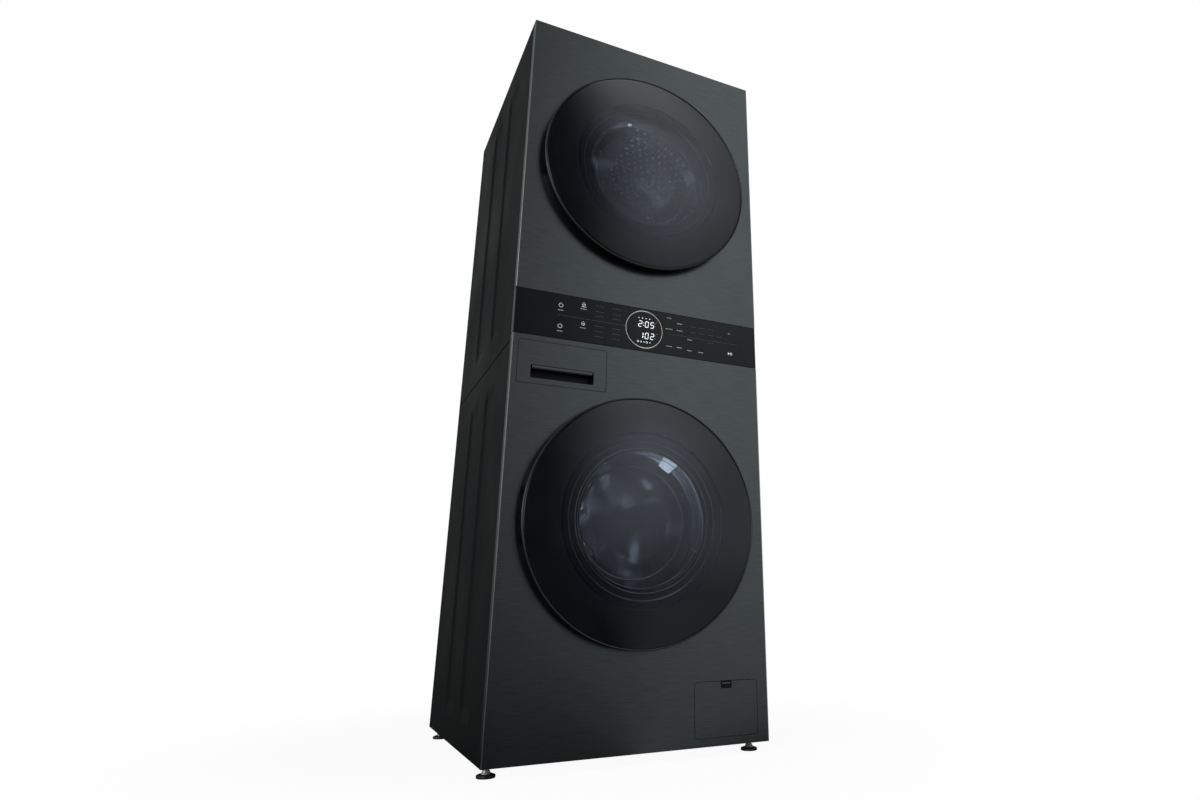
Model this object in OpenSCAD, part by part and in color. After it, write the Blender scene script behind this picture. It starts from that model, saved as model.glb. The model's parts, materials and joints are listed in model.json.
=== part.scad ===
// Washer dryer stack: a washer below, a heat pump dryer above, one casing.
// Every piece is drawn with y = 0 on the front face of the casing (y runs
// to the back) and z = 0 at its underside. in_frame() then puts it in the
// part's own frame, whose origin is on the floor below the middle.

/* [Casing] */
// Width of the casing
tower_w = 600; // [590:1:640]
// Depth of the casing, from the front face to the rear edges
tower_d = 624; // [610:1:660]
// Height of the casing without its feet
tower_h = 1655; // [1645:1:1700]
// Height of the seam between the lower and the upper casing
seam_z = 818; // [814:1:820]
// Thickness of the casing sheet
sheet_t = 1.5; // [1:0.1:2]
// Gap between neighbouring panels
panel_gap = 1; // [0.6:0.1:1.5]
// Depth of the folded edge along the sides of a front panel
fold_d = 18; // [14:1:20]
// How deep the ribs are pressed into the side walls
rib_depth = 4; // [2:0.5:6]
// Width of each pressed rib
rib_w = 108; // [90:1:120]
// Distance between the front edges of the two ribs
rib_pitch = 178; // [165:1:185]
// Distance from the front face to the first rib
rib_y = 142; // [120:1:150]
// How far the rear covers stand out behind the casing
rear_bulge = 6; // [5:0.5:12]

/* [Doors] */
// Distance between the edge of a door and the side of the casing
door_margin = 38; // [36:1:40]
// Height of the washer's axis above the underside of the casing
washer_z = 450; // [446:1:452]
// Height of the dryer's axis above the underside of the casing
dryer_z = 1294; // [1290:1:1300]
// How far the rim of a door stands out from the front face
door_rim = 24; // [23:0.5:26]
// Extra height of the domed glass in the middle of a door
door_crown = 6; // [3:0.5:10]
// Gap between the back of a closed door and the front face
door_gap = 1.5; // [1.2:0.1:2]
// Thickness of the outer door glass
glass_t = 4; // [3:0.5:4.5]
// How much smaller a door is at its back than at its rim
door_taper = 14; // [12:1:18]
// Distance of the hinge axis inside the edge of the door
hinge_inset = 9; // [8:0.5:9.5]
// Distance of the hinge axis in front of the front face
hinge_proud = 14; // [13.5:0.25:14.5]
// Radius of the hinge pins
hinge_pin_r = 2.5; // [2:0.1:3]
// Radius of the hinge barrels
hinge_barrel_r = 5; // [4.5:0.1:5.2]
// Height of the moving hinge leaf
leaf_h = 70; // [60:1:80]
// Gap between the inner glass bowls and the washer's rubber mouth
bowl_gap = 15; // [10:1:20]
// Wall of the inner glass bowls
bowl_t = 5; // [4:0.5:6]
// How deep the washer's bowl reaches into the casing
washer_bowl_d = 95; // [80:1:100]
// How deep the dryer's bowl reaches into the casing
dryer_bowl_d = 38; // [30:1:40]
// Depth of the finger grip behind the right edge of a door
grip_d = 30; // [26:1:34]
// Height of the finger grip
grip_h = 140; // [120:1:160]

/* [Washer] */
// How much smaller the hole in the washer's front panel is than the door
washer_hole_margin = 72; // [70:1:74]
// Width of the gasket between the washer's hole and its rubber mouth
gasket_w = 25; // [22:1:28]
// Depth at which the tub begins
tub_y = 62; // [60:1:66]
// Distance between the tub and the side of the casing
tub_margin = 32; // [30:1:34]
// Wall of the tub
tub_t = 4; // [3:0.5:5]
// Length of the tub
tub_len = 400; // [395:1:410]
// Distance between the wash drum and the outside of the tub
drum_margin = 23; // [18:1:28]
// How much shorter the wash drum is than the tub
drum_len_margin = 50; // [45:1:60]
// How much smaller the opening of the wash drum is than the rubber mouth
drum_mouth_step = 5; // [1:1:7]
// Sheet thickness of both drums
drum_t = 1.2; // [1:0.1:1.5]
// Height of the lifters in the wash drum
lifter_h = 55; // [40:1:65]
// Sheet thickness of the lifters in both drums
lifter_t = 1.5; // [1:0.1:2]
// Radius of the drum shaft
shaft_r = 15; // [13:0.5:17]
// Outer radius of the drum bearings
bearing_r = 36; // [34:0.5:38]
// Radius of the motor's outer rotor
rotor_r = 124; // [115:1:130]
// Thickness of the counterweight ring
weight_t = 28; // [24:1:30]

/* [Dryer] */
// How much smaller the hole in the dryer's front panel is than the door
dryer_hole_margin = 77; // [74:1:80]
// Width of the ring between the dryer's hole and its mouth
dryer_mouth_step = 10; // [7:1:13]
// Distance between the dryer drum and the side of the casing
dry_drum_margin = 30; // [28:1:34]
// Length of the dryer drum
dry_drum_len = 430; // [415:1:435]
// Depth at which the dryer drum begins
dry_drum_y = 74; // [74:1:78]
// Width of the lip at the front of the dryer drum
dry_drum_lip = 35; // [30:1:45]
// Height of the lifters in the dryer drum
dry_lifter_h = 60; // [45:1:70]
// Radius of the drum rollers
roller_r = 30; // [26:1:32]
// Width of the drum rollers
roller_w = 18; // [14:1:20]
// Angle of the rollers from straight below the drum
roller_angle = 35; // [30:1:38]
// Radius of the belt pulley on the motor
pulley_r = 9; // [8:0.5:12]
// Width of the drive belt
belt_w = 12; // [9:1:14]
// Radius of the process fan
fan_r = 68; // [60:1:70]
// Width of the lint filter
filter_w = 160; // [140:1:165]
// Height of the lint filter
filter_h = 125; // [110:1:130]

/* [Controls] */
// Height of the lower edge of the control strip
strip_z0 = 831; // [830:1:833]
// Height of the upper edge of the control strip
strip_z1 = 935; // [930:1:940]
// Thickness of the control strip
fascia_t = 4; // [3:0.5:5]
// Length of the control board
board_w = 460; // [400:5:500]

/* [Detergent drawer] */
// Distance between the drawer front and the left side of the casing
drawer_margin = 14; // [13:1:16]
// Width of the drawer front
drawer_w = 197; // [186:1:198]
// Lower edge of the drawer front
drawer_z0 = 722.5; // [722:0.5:726]
// Upper edge of the drawer front
drawer_z1 = 817.5; // [812:0.5:818]
// Length of the drawer's tray
tray_len = 273; // [240:1:280]
// Wall of the drawer's tray
tray_t = 2; // [1.5:0.1:2.5]
// Width of the slot that the fingers go into
pull_w = 140; // [120:1:150]
// Height of the slot that the fingers go into
pull_h = 29.5; // [26:0.5:32]
// Depth of the slot that the fingers go into
pull_d = 20; // [16:1:21]
// Corner radius of the drawer front
drawer_corner = 5; // [3:0.5:8]

/* [Pump flap] */
// Distance between the pump flap and the right side of the casing
flap_margin = 27; // [22:1:32]
// Width of the pump flap
flap_w = 148; // [144:1:150]
// Lower edge of the pump flap
flap_z0 = 16.5; // [15:0.5:18]
// Height of the pump flap
flap_h = 106; // [100:1:110]
// Thickness of the pump flap
flap_t = 3; // [2.5:0.1:3.5]
// Corner radius of the pump flap
flap_corner = 7; // [4:0.5:10]
// Radius of the drain filter's cap
cap_r = 30; // [26:0.5:32]

/* [Feet] */
// Height of the casing above the floor with the feet screwed in
foot_h = 22; // [16:1:24]
// Radius of a foot's pad
pad_r = 17.5; // [16:0.5:20]
// Thickness of a foot's pad
pad_t = 7; // [5:0.5:8]
// Radius of a foot's threaded stud
stud_r = 5; // [4:0.5:6]
// Distance from a foot's axis to the side of the casing
foot_inset_x = 21; // [20:1:36]
// Distance from a foot's axis to the front or back of the casing
foot_inset_y = 50; // [38:1:54]
// Height of the base frame
base_h = 34; // [30:1:35]

/* [Rear connections] */
// Outer radius of the water inlet threads
inlet_r = 13.2; // [13:0.1:13.5]
// Distance between the two water inlets
inlet_pitch = 60; // [50:1:66]
// Outer radius of the drain spigot
drain_r = 10; // [9:0.5:11]
// Radius of the hole in the mains cable gland
gland_bore_r = 4.5; // [3.5:0.1:5]

/* [Hidden] */
$fn = 96;
// Smallest overlap that joins two solids of one piece
join = 0.5;
// Radial clearance of pins and shafts in their bores
running = 0.05;
// Gap between curved faces that almost touch
near = 0.4;
half_w = tower_w / 2;
door_r = half_w - door_margin;
tub_r = half_w - tub_margin;
drum_r = tub_r - drum_margin;
dry_drum_r = half_w - dry_drum_margin;
dry_drum_mouth_r = dry_drum_r - dry_drum_lip;
washer_hole_r = door_r - washer_hole_margin;
mouth_r = washer_hole_r - gasket_w;
bowl_r = mouth_r - bowl_gap;
drum_mouth_r = mouth_r - drum_mouth_step;
dryer_hole_r = door_r - dryer_hole_margin;
dryer_mouth_r = dryer_hole_r - dryer_mouth_step;
drawer_x0 = drawer_margin - half_w;
drawer_x1 = drawer_x0 + drawer_w;
flap_x1 = half_w - flap_margin;
flap_x0 = flap_x1 - flap_w;
door_proud = door_rim + door_crown;
overall_d = door_proud + tower_d + rear_bulge;
front_y = door_proud - overall_d / 2;
lid_t = 2;
// Doors: depth of the plane that the outer glass sits on
seat_y = glass_t - door_rim;
rim_w = 3.5;
glass_r = door_r - rim_w;
flange_r = bowl_r + 18;
hinge_x = hinge_inset - door_r;
hook_x = door_r - 51;
hook_half_h = 10;
slot_half_h = 14;
slot_half_w = 8;
ear_t = 4;
ear_gap = 0.6;
bracket_half_h = leaf_h / 2 + ear_gap + ear_t + 12;
bracket_len = 48;
pocket_half_h = bracket_half_h + 6;
leaf_t = 4;
leaf_len = 80;
leaf_half_h = 25;
// Washer
tub_end = tub_y + tub_len;
tub_split = tub_y + 0.5 * tub_len;
tub_flange = 8;
drum_len = tub_len - drum_len_margin;
drum_y = tub_y + 18;
drum_end = drum_y + drum_len;
hub_r = bearing_r + 10;
hub_end = tub_end + 53;
bearing_w = 18;
shaft_end = hub_end + 10;
spider_t = 12;
// Dryer
dry_drum_end = dry_drum_y + dry_drum_len;
dry_shaft_r = 12;
rear_plate_y = dry_drum_end + 21;
plate_y = dry_drum_y - 14;
plate_t = 3;
roller_d = dry_drum_r + near + roller_r;
roller_pin_r = 6;
roller_y = dry_drum_y + 12;
motor_x = half_w - 95;
motor_z = dryer_z - 309;
motor_y = 205;
motor_len = 78;
motor_r = 45;
motor_pin_r = 6;
belt_y = motor_y + motor_len + 14;
belt_t = 2;
belt_r = dry_drum_r + near;
fan_y = roller_y + roller_w + 12;
fan_len = 70;
filter_y = plate_y - 12;
filter_t = 10;
deck_t = 6;
deck_z = seam_z + 2;
pan_h = 62;
compressor_r = 72;
compressor_h = 148;
compressor_x = half_w - 110;
compressor_y = tower_d - 184;
core_d = 120;
core_h = 148;
core_gap = 100;
core_y = compressor_y - 70;
core_x0 = 50 - half_w;
fin_pitch = 11;
fin_count = floor((compressor_x - compressor_r - 124 - core_x0) / fin_pitch);
// Drawer
drawer_mid_x = (drawer_x0 + drawer_x1) / 2;
foot_boss_r = stud_r + 9;
tray_x0 = drawer_x0 + 9;
tray_x1 = drawer_x1 - 9;
tray_y = pull_d + 7;
tray_z0 = drawer_z0 + 6;
tray_z1 = drawer_z1 - 15;
housing_t = 2;
housing_gap = 1.5;
pull_z = drawer_z0 + 27;
// Pump flap
flap_z1 = flap_z0 + flap_h;
flap_pin_r = 2;
flap_axis_y = 7;
flap_axis_z = flap_z0 + 13.5;
flap_ear_r = 3.6;
flap_ear_w = 4.5;
flap_lug_w = 3;
pump_x = (flap_x0 + flap_x1) / 2;
pump_end = 216;
pump_z = flap_z0 + flap_h / 2;
pump_plate_y = min(25, foot_inset_y - foot_boss_r - 3);
cap_y = 12;
notch_w = 26;
// Rear connections
recess_depth = 26;
inlet_x = -130;
inlet_z = 770;
inlet_y1 = tower_d + 4;
drain_x = half_w - 100;
drain_z = 104;
gland_x = 78 - half_w;
gland_z = 120;
gland_r = gland_bore_r + 5;

function lerp(a, b, t) = a + (b - a) * t;
// Radius of a glass bowl at a depth: flat sides that curl into a round end
function bowl_at(r, depth, y) = r * pow(1 - pow(y / depth, 2.6), 0.45);
// Height of the domed door glass at a radius
function dome(r) = door_crown * (1 - pow(r / glass_r, 2));

module in_frame() translate([0, front_y, foot_h]) children();

module block(lo, hi) translate(lo) cube(hi - lo);

// An upright plate across the tower with round corners
module rounded(lo, hi, r) {
    x = [lo[0], hi[0]];
    z = [lo[2], hi[2]];
    translate([0, hi[1], 0]) rotate([90, 0, 0]) linear_extrude(hi[1] - lo[1]) {
        translate([x[0] + r, z[0]]) square([x[1] - x[0] - 2 * r, z[1] - z[0]]);
        translate([x[0], z[0] + r]) square([x[1] - x[0], z[1] - z[0] - 2 * r]);
        for (i = [0, 1], k = [0, 1])
            translate([x[i] + (1 - 2 * i) * r, z[k] + (1 - 2 * k) * r]) circle(r = r, $fn = 48);
    }
}

// A profile of (radius, depth) points turned about an axis along the depth
module turned(z, profile) {
    translate([0, 0, z]) rotate([-90, 0, 0]) rotate_extrude() polygon(profile);
}

module rod(x, z, y0, y1, r) {
    translate([x, y0, z]) rotate([-90, 0, 0]) cylinder(r = r, h = y1 - y0);
}

module tube(x, z, y0, y1, r, bore) {
    difference() {
        rod(x, z, y0, y1, r);
        rod(x, z, y0 - 1, y1 + 1, bore);
    }
}

// A straight round bar between two points of one plane across the tower
module strut(y, from, to, r) {
    run = to - from;
    translate([from[0], y, from[1]])
        rotate([0, atan2(run[0], run[1]), 0])
            cylinder(r = r, h = norm(run), $fn = 32);
}

// ---------------------------------------------------------------- casing

module base_frame() {
    in_frame() color("dimgray") difference() {
        union() {
            difference() {
                block([sheet_t - half_w, fold_d + 4, 0],
                      [half_w - sheet_t, tower_d - sheet_t, base_h]);
                block([sheet_t - half_w + 3, fold_d + 7, 2],
                      [half_w - sheet_t - 3, tower_d - sheet_t - 3, base_h + 1]);
            }
            for (sx = [-1, 1], fy = [foot_inset_y, tower_d - foot_inset_y])
                translate([sx * (half_w - foot_inset_x), fy, 0])
                    cylinder(r = foot_boss_r, h = base_h);
            for (y = [tower_d * 0.3, tower_d * 0.62])
                block([sheet_t - half_w + 1, y, 0], [half_w - sheet_t - 1, y + 24, 22]);
            // ears that carry the pump flap
            for (x = [flap_x0 + 18.5, flap_x1 - 18.5 - flap_ear_w]) {
                translate([x, flap_axis_y, flap_axis_z]) rotate([0, 90, 0])
                    cylinder(r = flap_ear_r, h = flap_ear_w, $fn = 48);
                block([x, flap_axis_y, flap_axis_z - 3], [x + flap_ear_w, fold_d + 5, flap_axis_z + 3]);
            }
        }
        translate([flap_x0, flap_axis_y, flap_axis_z]) rotate([0, 90, 0])
            cylinder(r = flap_pin_r + running, h = flap_w, $fn = 48);
        for (sx = [-1, 1], fy = [foot_inset_y, tower_d - foot_inset_y])
            translate([sx * (half_w - foot_inset_x), fy, -1])
                cylinder(r = stud_r + running, h = base_h + 2);
    }
}

// The part of a side wall that is pushed in for one pressed rib
module rib_tray(y, z0, z1) {
    block([sheet_t - half_w - join, y - sheet_t, z0 - sheet_t],
          [sheet_t - half_w + rib_depth, y + rib_w + sheet_t, z1 + sheet_t]);
}

module rib_hollow(y, z0, z1) {
    block([-half_w - 1, y, z0], [rib_depth - half_w, y + rib_w, z1]);
}

module side_wall(z0, z1, rib_z0, rib_z1) {
    difference() {
        union() {
            block([-half_w, fold_d + panel_gap, z0], [sheet_t - half_w, tower_d, z1]);
            for (i = [0, 1]) rib_tray(rib_y + i * rib_pitch, rib_z0, rib_z1);
            block([-half_w, fold_d + panel_gap, z0],
                  [14 - half_w, fold_d + panel_gap + sheet_t, z1]);
        }
        for (i = [0, 1]) rib_hollow(rib_y + i * rib_pitch, rib_z0, rib_z1);
    }
}

module wrap(z0, z1, rib_z0, rib_z1) {
    side_wall(z0, z1, rib_z0, rib_z1);
    mirror([1, 0, 0]) side_wall(z0, z1, rib_z0, rib_z1);
    difference() {
        block([-half_w, tower_d - sheet_t, z0], [half_w, tower_d, z1]);
        children();
    }
}

// Half width and edges of the openings that the rear covers close
rear_open_w = half_w - 75;
lower_open = [150, seam_z - 118];
upper_open = [seam_z + 82, tower_h - 55];

module lower_cabinet() {
    in_frame() color([0.16, 0.17, 0.18])
        wrap(0, seam_z - panel_gap / 2, 50, seam_z - 53) {
            block([-rear_open_w, 0, lower_open[0]], [rear_open_w, tower_d + 1, lower_open[1]]);
            inlet_recess(tower_d + 1);
            drain_recess(tower_d + 1);
            rod(gland_x, gland_z, 0, tower_d + 1, gland_r + running);
        }
}

module upper_cabinet() {
    in_frame() color([0.16, 0.17, 0.18])
        wrap(seam_z + panel_gap / 2, tower_h - lid_t, seam_z + 52, tower_h - 62)
            block([-rear_open_w, 0, upper_open[0]], [rear_open_w, tower_d + 1, upper_open[1]]);
}

module top_cover() {
    in_frame() color([0.16, 0.17, 0.18]) {
        block([-half_w, sheet_t + panel_gap, tower_h - lid_t], [half_w, tower_d, tower_h]);
        for (sx = [-1, 1])
            block([sx * (half_w - 12) - 8, 60, tower_h - 14],
                  [sx * (half_w - 12) + 8, tower_d - 60, tower_h - 1]);
    }
}

module cover_plate(open, bulge_w) {
    block([-rear_open_w - 14, tower_d, open[0] - 14],
          [rear_open_w + 14, tower_d + sheet_t, open[1] + 14]);
    block([-bulge_w, tower_d, open[0] + 40],
          [bulge_w, tower_d + rear_bulge, open[1] - 40]);
}

module cover_hollow(open, bulge_w) {
    block([sheet_t - bulge_w, tower_d - 1, open[0] + 40 + sheet_t],
          [bulge_w - sheet_t, tower_d + rear_bulge - sheet_t, open[1] - 40 - sheet_t]);
}

module lower_rear_cover() {
    in_frame() color("dimgray") difference() {
        cover_plate(lower_open, 170);
        cover_hollow(lower_open, 170);
        for (z = [lower_open[0] + 70 : 24 : lower_open[0] + 190])
            block([-90, tower_d - 2, z], [90, tower_d + rear_bulge + 1, z + 6]);
    }
}

module upper_rear_cover() {
    in_frame() color("dimgray") difference() {
        cover_plate(upper_open, 185);
        cover_hollow(upper_open, 185);
        for (z = [upper_open[0] + 70 : 24 : upper_open[0] + 310], sx = [-1, 1])
            block([sx * 90 - 60, tower_d - 2, z], [sx * 90 + 60, tower_d + rear_bulge + 1, z + 6]);
    }
}

// Holes for the screws that hold a rear cover
function cover_screws(open) = [
    for (sx = [-1, 1], i = [0 : 3])
        [sx * (rear_open_w + 7), lerp(open[0] + 20, open[1] - 20, i / 3)]
];

module cabinet_screws() {
    in_frame() color("silver")
        for (open = [lower_open, upper_open], p = cover_screws(open)) {
            rod(p[0], p[1], tower_d + sheet_t, tower_d + sheet_t + 2.5, 4.5);
        }
}

// A front panel: one sheet with folded edges and a round mouth; its folds
// end lower by drop at the top, to carry the lid
module panel_blank(z0, z1, axis_z, hole_r, drop) {
    difference() {
        union() {
            block([-half_w, 0, z0], [half_w, sheet_t, z1]);
            for (sx = [-1, 1]) mirror([sx > 0 ? 1 : 0, 0, 0])
                block([-half_w, 0, z0], [sheet_t - half_w, fold_d, z1 - drop]);
            block([-half_w, 0, z0], [half_w, 12, z0 + sheet_t]);
            block([-half_w, 0, z1 - drop - sheet_t], [half_w, 12, z1 - drop]);
        }
        rod(0, axis_z, -1, 20, hole_r);
        block([hook_x - slot_half_w, -1, axis_z - slot_half_h],
              [hook_x + slot_half_w, 5, axis_z + slot_half_h]);
    }
}

module washer_front_panel() {
    in_frame() color([0.3, 0.31, 0.32]) difference() {
        panel_blank(0, strip_z0 - panel_gap, washer_z, washer_hole_r, 0);
        rounded([drawer_x0 - panel_gap, -1, drawer_z0 - panel_gap],
                [drawer_x1 + panel_gap, 5, drawer_z1 + panel_gap], drawer_corner + panel_gap);
        rounded([flap_x0 - panel_gap, -1, flap_z0 - panel_gap],
                [flap_x1 + panel_gap, 5, flap_z1 + panel_gap], flap_corner + panel_gap);
    }
}

module dryer_front_panel() {
    in_frame() color([0.3, 0.31, 0.32])
        panel_blank(strip_z1 + panel_gap, tower_h, dryer_z, dryer_hole_r, lid_t);
}

// -------------------------------------------------------------- controls

module control_fascia() {
    in_frame() color([0.07, 0.08, 0.09]) {
        block([-half_w, 0, strip_z0], [half_w, fascia_t, strip_z1]);
        for (sx = [-1, 1]) mirror([sx > 0 ? 1 : 0, 0, 0])
            block([-half_w, 0, strip_z0], [3 - half_w, fold_d, strip_z1]);
        for (z = [strip_z0, strip_z1 - 2])
            block([-half_w, 0, z], [half_w, 14, z + 2]);
    }
}

module control_board() {
    strip_mid = (strip_z0 + strip_z1) / 2;
    in_frame() color("darkgreen") {
        block([-board_w / 2, 20, strip_mid - 40], [board_w / 2, 22, strip_mid + 40]);
        // display module and light guides reach forward to the strip
        rod(0, strip_mid, fascia_t, 20.5, 42);
        for (x = [-190, -150, 70, 110, 150, 190])
            block([x - 8, fascia_t, strip_mid - 30], [x + 8, 20.5, strip_mid + 30]);
        for (x = [-120, 100]) block([x - 25, 21.5, strip_mid - 20], [x + 25, 34, strip_mid + 20]);
    }
}

// ----------------------------------------------------------------- doors

module door_frame(z, bowl_depth) {
    difference() {
        union() {
            turned(z, [
                [bowl_r + 0.3, -door_gap], [door_r - door_taper, -door_gap],
                [door_r, seat_y], [door_r, 1.5 - door_rim],
                [door_r - 1.5, -door_rim], [glass_r + 0.2, -door_rim],
                [glass_r + 0.2, seat_y], [flange_r + 0.3, seat_y],
                [flange_r + 0.3, -8], [bowl_r + 0.3, -8]
            ]);
            // latch hook
            block([hook_x - 3, -door_gap - join, z - hook_half_h],
                  [hook_x + 3, 16, z + hook_half_h]);
            block([hook_x - 6, 10, z - hook_half_h], [hook_x, 16, z + hook_half_h]);
        }
        // room for the fixed hinge bracket, and the seat of the leaf
        block([-door_r - 1, seat_y, z - pocket_half_h],
              [hinge_x + bracket_len + 6, 0, z + pocket_half_h]);
        block([hinge_x, -hinge_proud - leaf_t + 1, z - leaf_half_h],
              [hinge_x + leaf_len, 0, z + leaf_half_h]);
        // finger grip behind the free edge
        block([door_r - grip_d, seat_y + 2, z - grip_h / 2], [door_r + 1, 1, z + grip_h / 2]);
    }
}

module door_glass(z) {
    steps = 8;
    turned(z, concat(
        [for (i = [0 : steps]) let (r = glass_r * i / steps) [r, -door_rim - dome(r)]],
        [for (i = [steps : -1 : 0]) let (r = glass_r * i / steps) [r, seat_y - dome(r)]]
    ));
}

module door_bowl(z, depth) {
    steps = 10;
    inner_d = depth - bowl_t;
    turned(z, concat(
        [[flange_r, -8], [flange_r, -12], [bowl_r - bowl_t, -12]],
        [for (i = [0 : steps]) let (y = inner_d * sin(90 * i / steps))
            [bowl_at(bowl_r - bowl_t, inner_d, y), y]],
        [for (i = [steps : -1 : 0]) let (y = depth * sin(90 * i / steps))
            [bowl_at(bowl_r, depth, y), y]],
        [[bowl_r, -8]]
    ));
}

module hinge_leaf(z) {
    difference() {
        union() {
            translate([hinge_x, -hinge_proud, z - leaf_h / 2])
                cylinder(r = hinge_barrel_r, h = leaf_h, $fn = 48);
            block([hinge_x, -hinge_proud - leaf_t + 1, z - leaf_half_h],
                  [hinge_x + leaf_len, 1 - hinge_proud, z + leaf_half_h]);
        }
        translate([hinge_x, -hinge_proud, z - leaf_h])
            cylinder(r = hinge_pin_r + running, h = 2 * leaf_h, $fn = 48);
    }
}

module hinge_bracket(z) {
    // ears that lean away from the edge of the door, so that it can pass
    for (s = [-1, 1])
        translate([hinge_x, -hinge_proud, z + s * (leaf_h / 2 + ear_gap + ear_t / 2) - ear_t / 2])
            linear_extrude(ear_t) {
                circle(r = hinge_barrel_r, $fn = 48);
                polygon([[-hinge_barrel_r, 0], [3, hinge_proud], [bracket_len - 10, hinge_proud],
                         [bracket_len - 20, hinge_proud - 4], [hinge_barrel_r, 0]]);
            }
    translate([hinge_x, -hinge_proud, z - leaf_h / 2 - ear_gap - ear_t])
        cylinder(r = hinge_pin_r, h = leaf_h + 2 * (ear_gap + ear_t), $fn = 48);
    block([hinge_x + 4, -2.5, z - bracket_half_h], [hinge_x + bracket_len, 0, z + bracket_half_h]);
}

module hinge_brackets() {
    in_frame() color("silver") for (z = [washer_z, dryer_z]) hinge_bracket(z);
}

module door_locks() {
    in_frame() color([0.2, 0.2, 0.2]) for (z = [washer_z, dryer_z]) difference() {
        block([hook_x - slot_half_w - 3, sheet_t, z - 36], [hook_x + slot_half_w + 8, 28, z + 36]);
        block([hook_x - slot_half_w, 0, z - slot_half_h], [hook_x + slot_half_w, 22, z + slot_half_h]);
    }
}

module washer_door_frame() { in_frame() color([0.1, 0.1, 0.11]) door_frame(washer_z); }
module dryer_door_frame() { in_frame() color([0.1, 0.1, 0.11]) door_frame(dryer_z); }
module washer_door_glass() { in_frame() color([0.1, 0.12, 0.15, 0.5]) door_glass(washer_z); }
module dryer_door_glass() { in_frame() color([0.1, 0.12, 0.15, 0.5]) door_glass(dryer_z); }
module washer_door_bowl() { in_frame() color([0.6, 0.7, 0.8, 0.4]) door_bowl(washer_z, washer_bowl_d); }
module dryer_door_bowl() { in_frame() color([0.6, 0.7, 0.8, 0.4]) door_bowl(dryer_z, dryer_bowl_d); }
module washer_hinge_leaf() { in_frame() color("silver") hinge_leaf(washer_z); }
module dryer_hinge_leaf() { in_frame() color("silver") hinge_leaf(dryer_z); }

// ---------------------------------------------------------------- washer

module door_gasket() {
    lip = washer_hole_r + 4;
    in_frame() color([0.35, 0.36, 0.37]) turned(washer_z, [
        [washer_hole_r - 11, -1], [lip, -1], [lip, 0], [washer_hole_r - 0.1, 0],
        [washer_hole_r - 0.1, 4], [mouth_r + 19, 6], [mouth_r + 8, 13], [mouth_r + 4.5, 26],
        [mouth_r + 7, 35], [mouth_r + 19, 43], [mouth_r + 21, tub_y], [mouth_r + 15, tub_y],
        [mouth_r + 13, 47], [mouth_r + 3, 39], [mouth_r, 26], [mouth_r + 3, 10],
        [washer_hole_r - 13, 0]
    ]);
}

module tub_front() {
    in_frame() color([0.75, 0.76, 0.78]) {
        turned(washer_z, [
            [mouth_r + 13, tub_y], [tub_r, tub_y], [tub_r, tub_split - tub_flange],
            [tub_r + tub_flange, tub_split - tub_flange], [tub_r + tub_flange, tub_split],
            [tub_r - tub_t, tub_split], [tub_r - tub_t, tub_y + tub_t], [mouth_r + 13, tub_y + tub_t]
        ]);
    }
}

spring_x = 200;
spring_y = 350;
spring_ear_z = sqrt(pow(tub_r, 2) - pow(spring_x, 2)) + 8;

module tub_rear() {
    in_frame() color([0.75, 0.76, 0.78]) difference() {
        union() {
            turned(washer_z, [
                [0, tub_end - tub_t], [tub_r - tub_t, tub_end - tub_t], [tub_r - tub_t, tub_split],
                [tub_r + tub_flange, tub_split], [tub_r + tub_flange, tub_split + tub_flange],
                [tub_r, tub_split + tub_flange], [tub_r, tub_end], [0, tub_end]
            ]);
            rod(0, washer_z, tub_end - 12, hub_end, hub_r);
            // ribs that stiffen the rear wall
            for (a = [0 : 30 : 330])
                translate([0, 0, washer_z]) rotate([0, a, 0])
                    block([rotor_r + 6, tub_end - 1, -2], [tub_r - 2, tub_end + 14, 2]);
            // ears that the springs hook into
            for (sx = [-1, 1])
                block([sx * spring_x - 7, spring_y - 8, washer_z + spring_ear_z - 26],
                      [sx * spring_x + 7, spring_y + 8, washer_z + spring_ear_z + 8]);
            // feet that the dampers hold
            for (sx = [-1, 1])
                block([sx * damper_x - 9, damper_y - 9, washer_z - damper_ear_z - 10],
                      [sx * damper_x + 9, damper_y + 9, washer_z - damper_ear_z + 24]);
        }
        rod(0, washer_z, tub_end - 20, tub_end, shaft_r + 5);
        rod(0, washer_z, tub_end, tub_end + bearing_w, bearing_r);
        rod(0, washer_z, tub_end, hub_end + 1, shaft_r + 5);
        rod(0, washer_z, hub_end - bearing_w, hub_end + 1, bearing_r);
        // the tub stays hollow
        rod(0, washer_z, tub_split - 1, tub_end - 12, tub_r - tub_t);
    }
}

damper_x = 150;
damper_y = 330;
damper_ear_z = sqrt(pow(tub_r, 2) - pow(damper_x, 2)) + 6;

module counterweight() {
    in_frame() color("gray") difference() {
        turned(washer_z, [
            [washer_hole_r + 12, tub_y - weight_t], [tub_r - 6, tub_y - weight_t],
            [tub_r - 6, tub_y], [washer_hole_r + 12, tub_y]
        ]);
        // a gap at the left for the hinge screws
        block([-tub_r, 0, washer_z - 40], [-washer_hole_r, tub_y - 8, washer_z + 40]);
    }
}

module tub_bearings() {
    in_frame() color("silver") for (y = [tub_end, hub_end - bearing_w])
        tube(0, washer_z, y, y + bearing_w, bearing_r, shaft_r + running);
}

module motor_stator() {
    in_frame() color([0.7, 0.45, 0.2]) {
        tube(0, washer_z, tub_end, tub_end + 36, rotor_r - 44, hub_r + 1);
        for (a = [0 : 20 : 340])
            translate([0, 0, washer_z]) rotate([0, a, 0])
                block([rotor_r - 46, tub_end + 12, -7], [rotor_r - 12, tub_end + 36, 7]);
    }
}

// Number of turns and wire of the tub's springs
spring_turns = 9;
spring_coil_r = 13;
spring_wire_r = 2;

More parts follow.
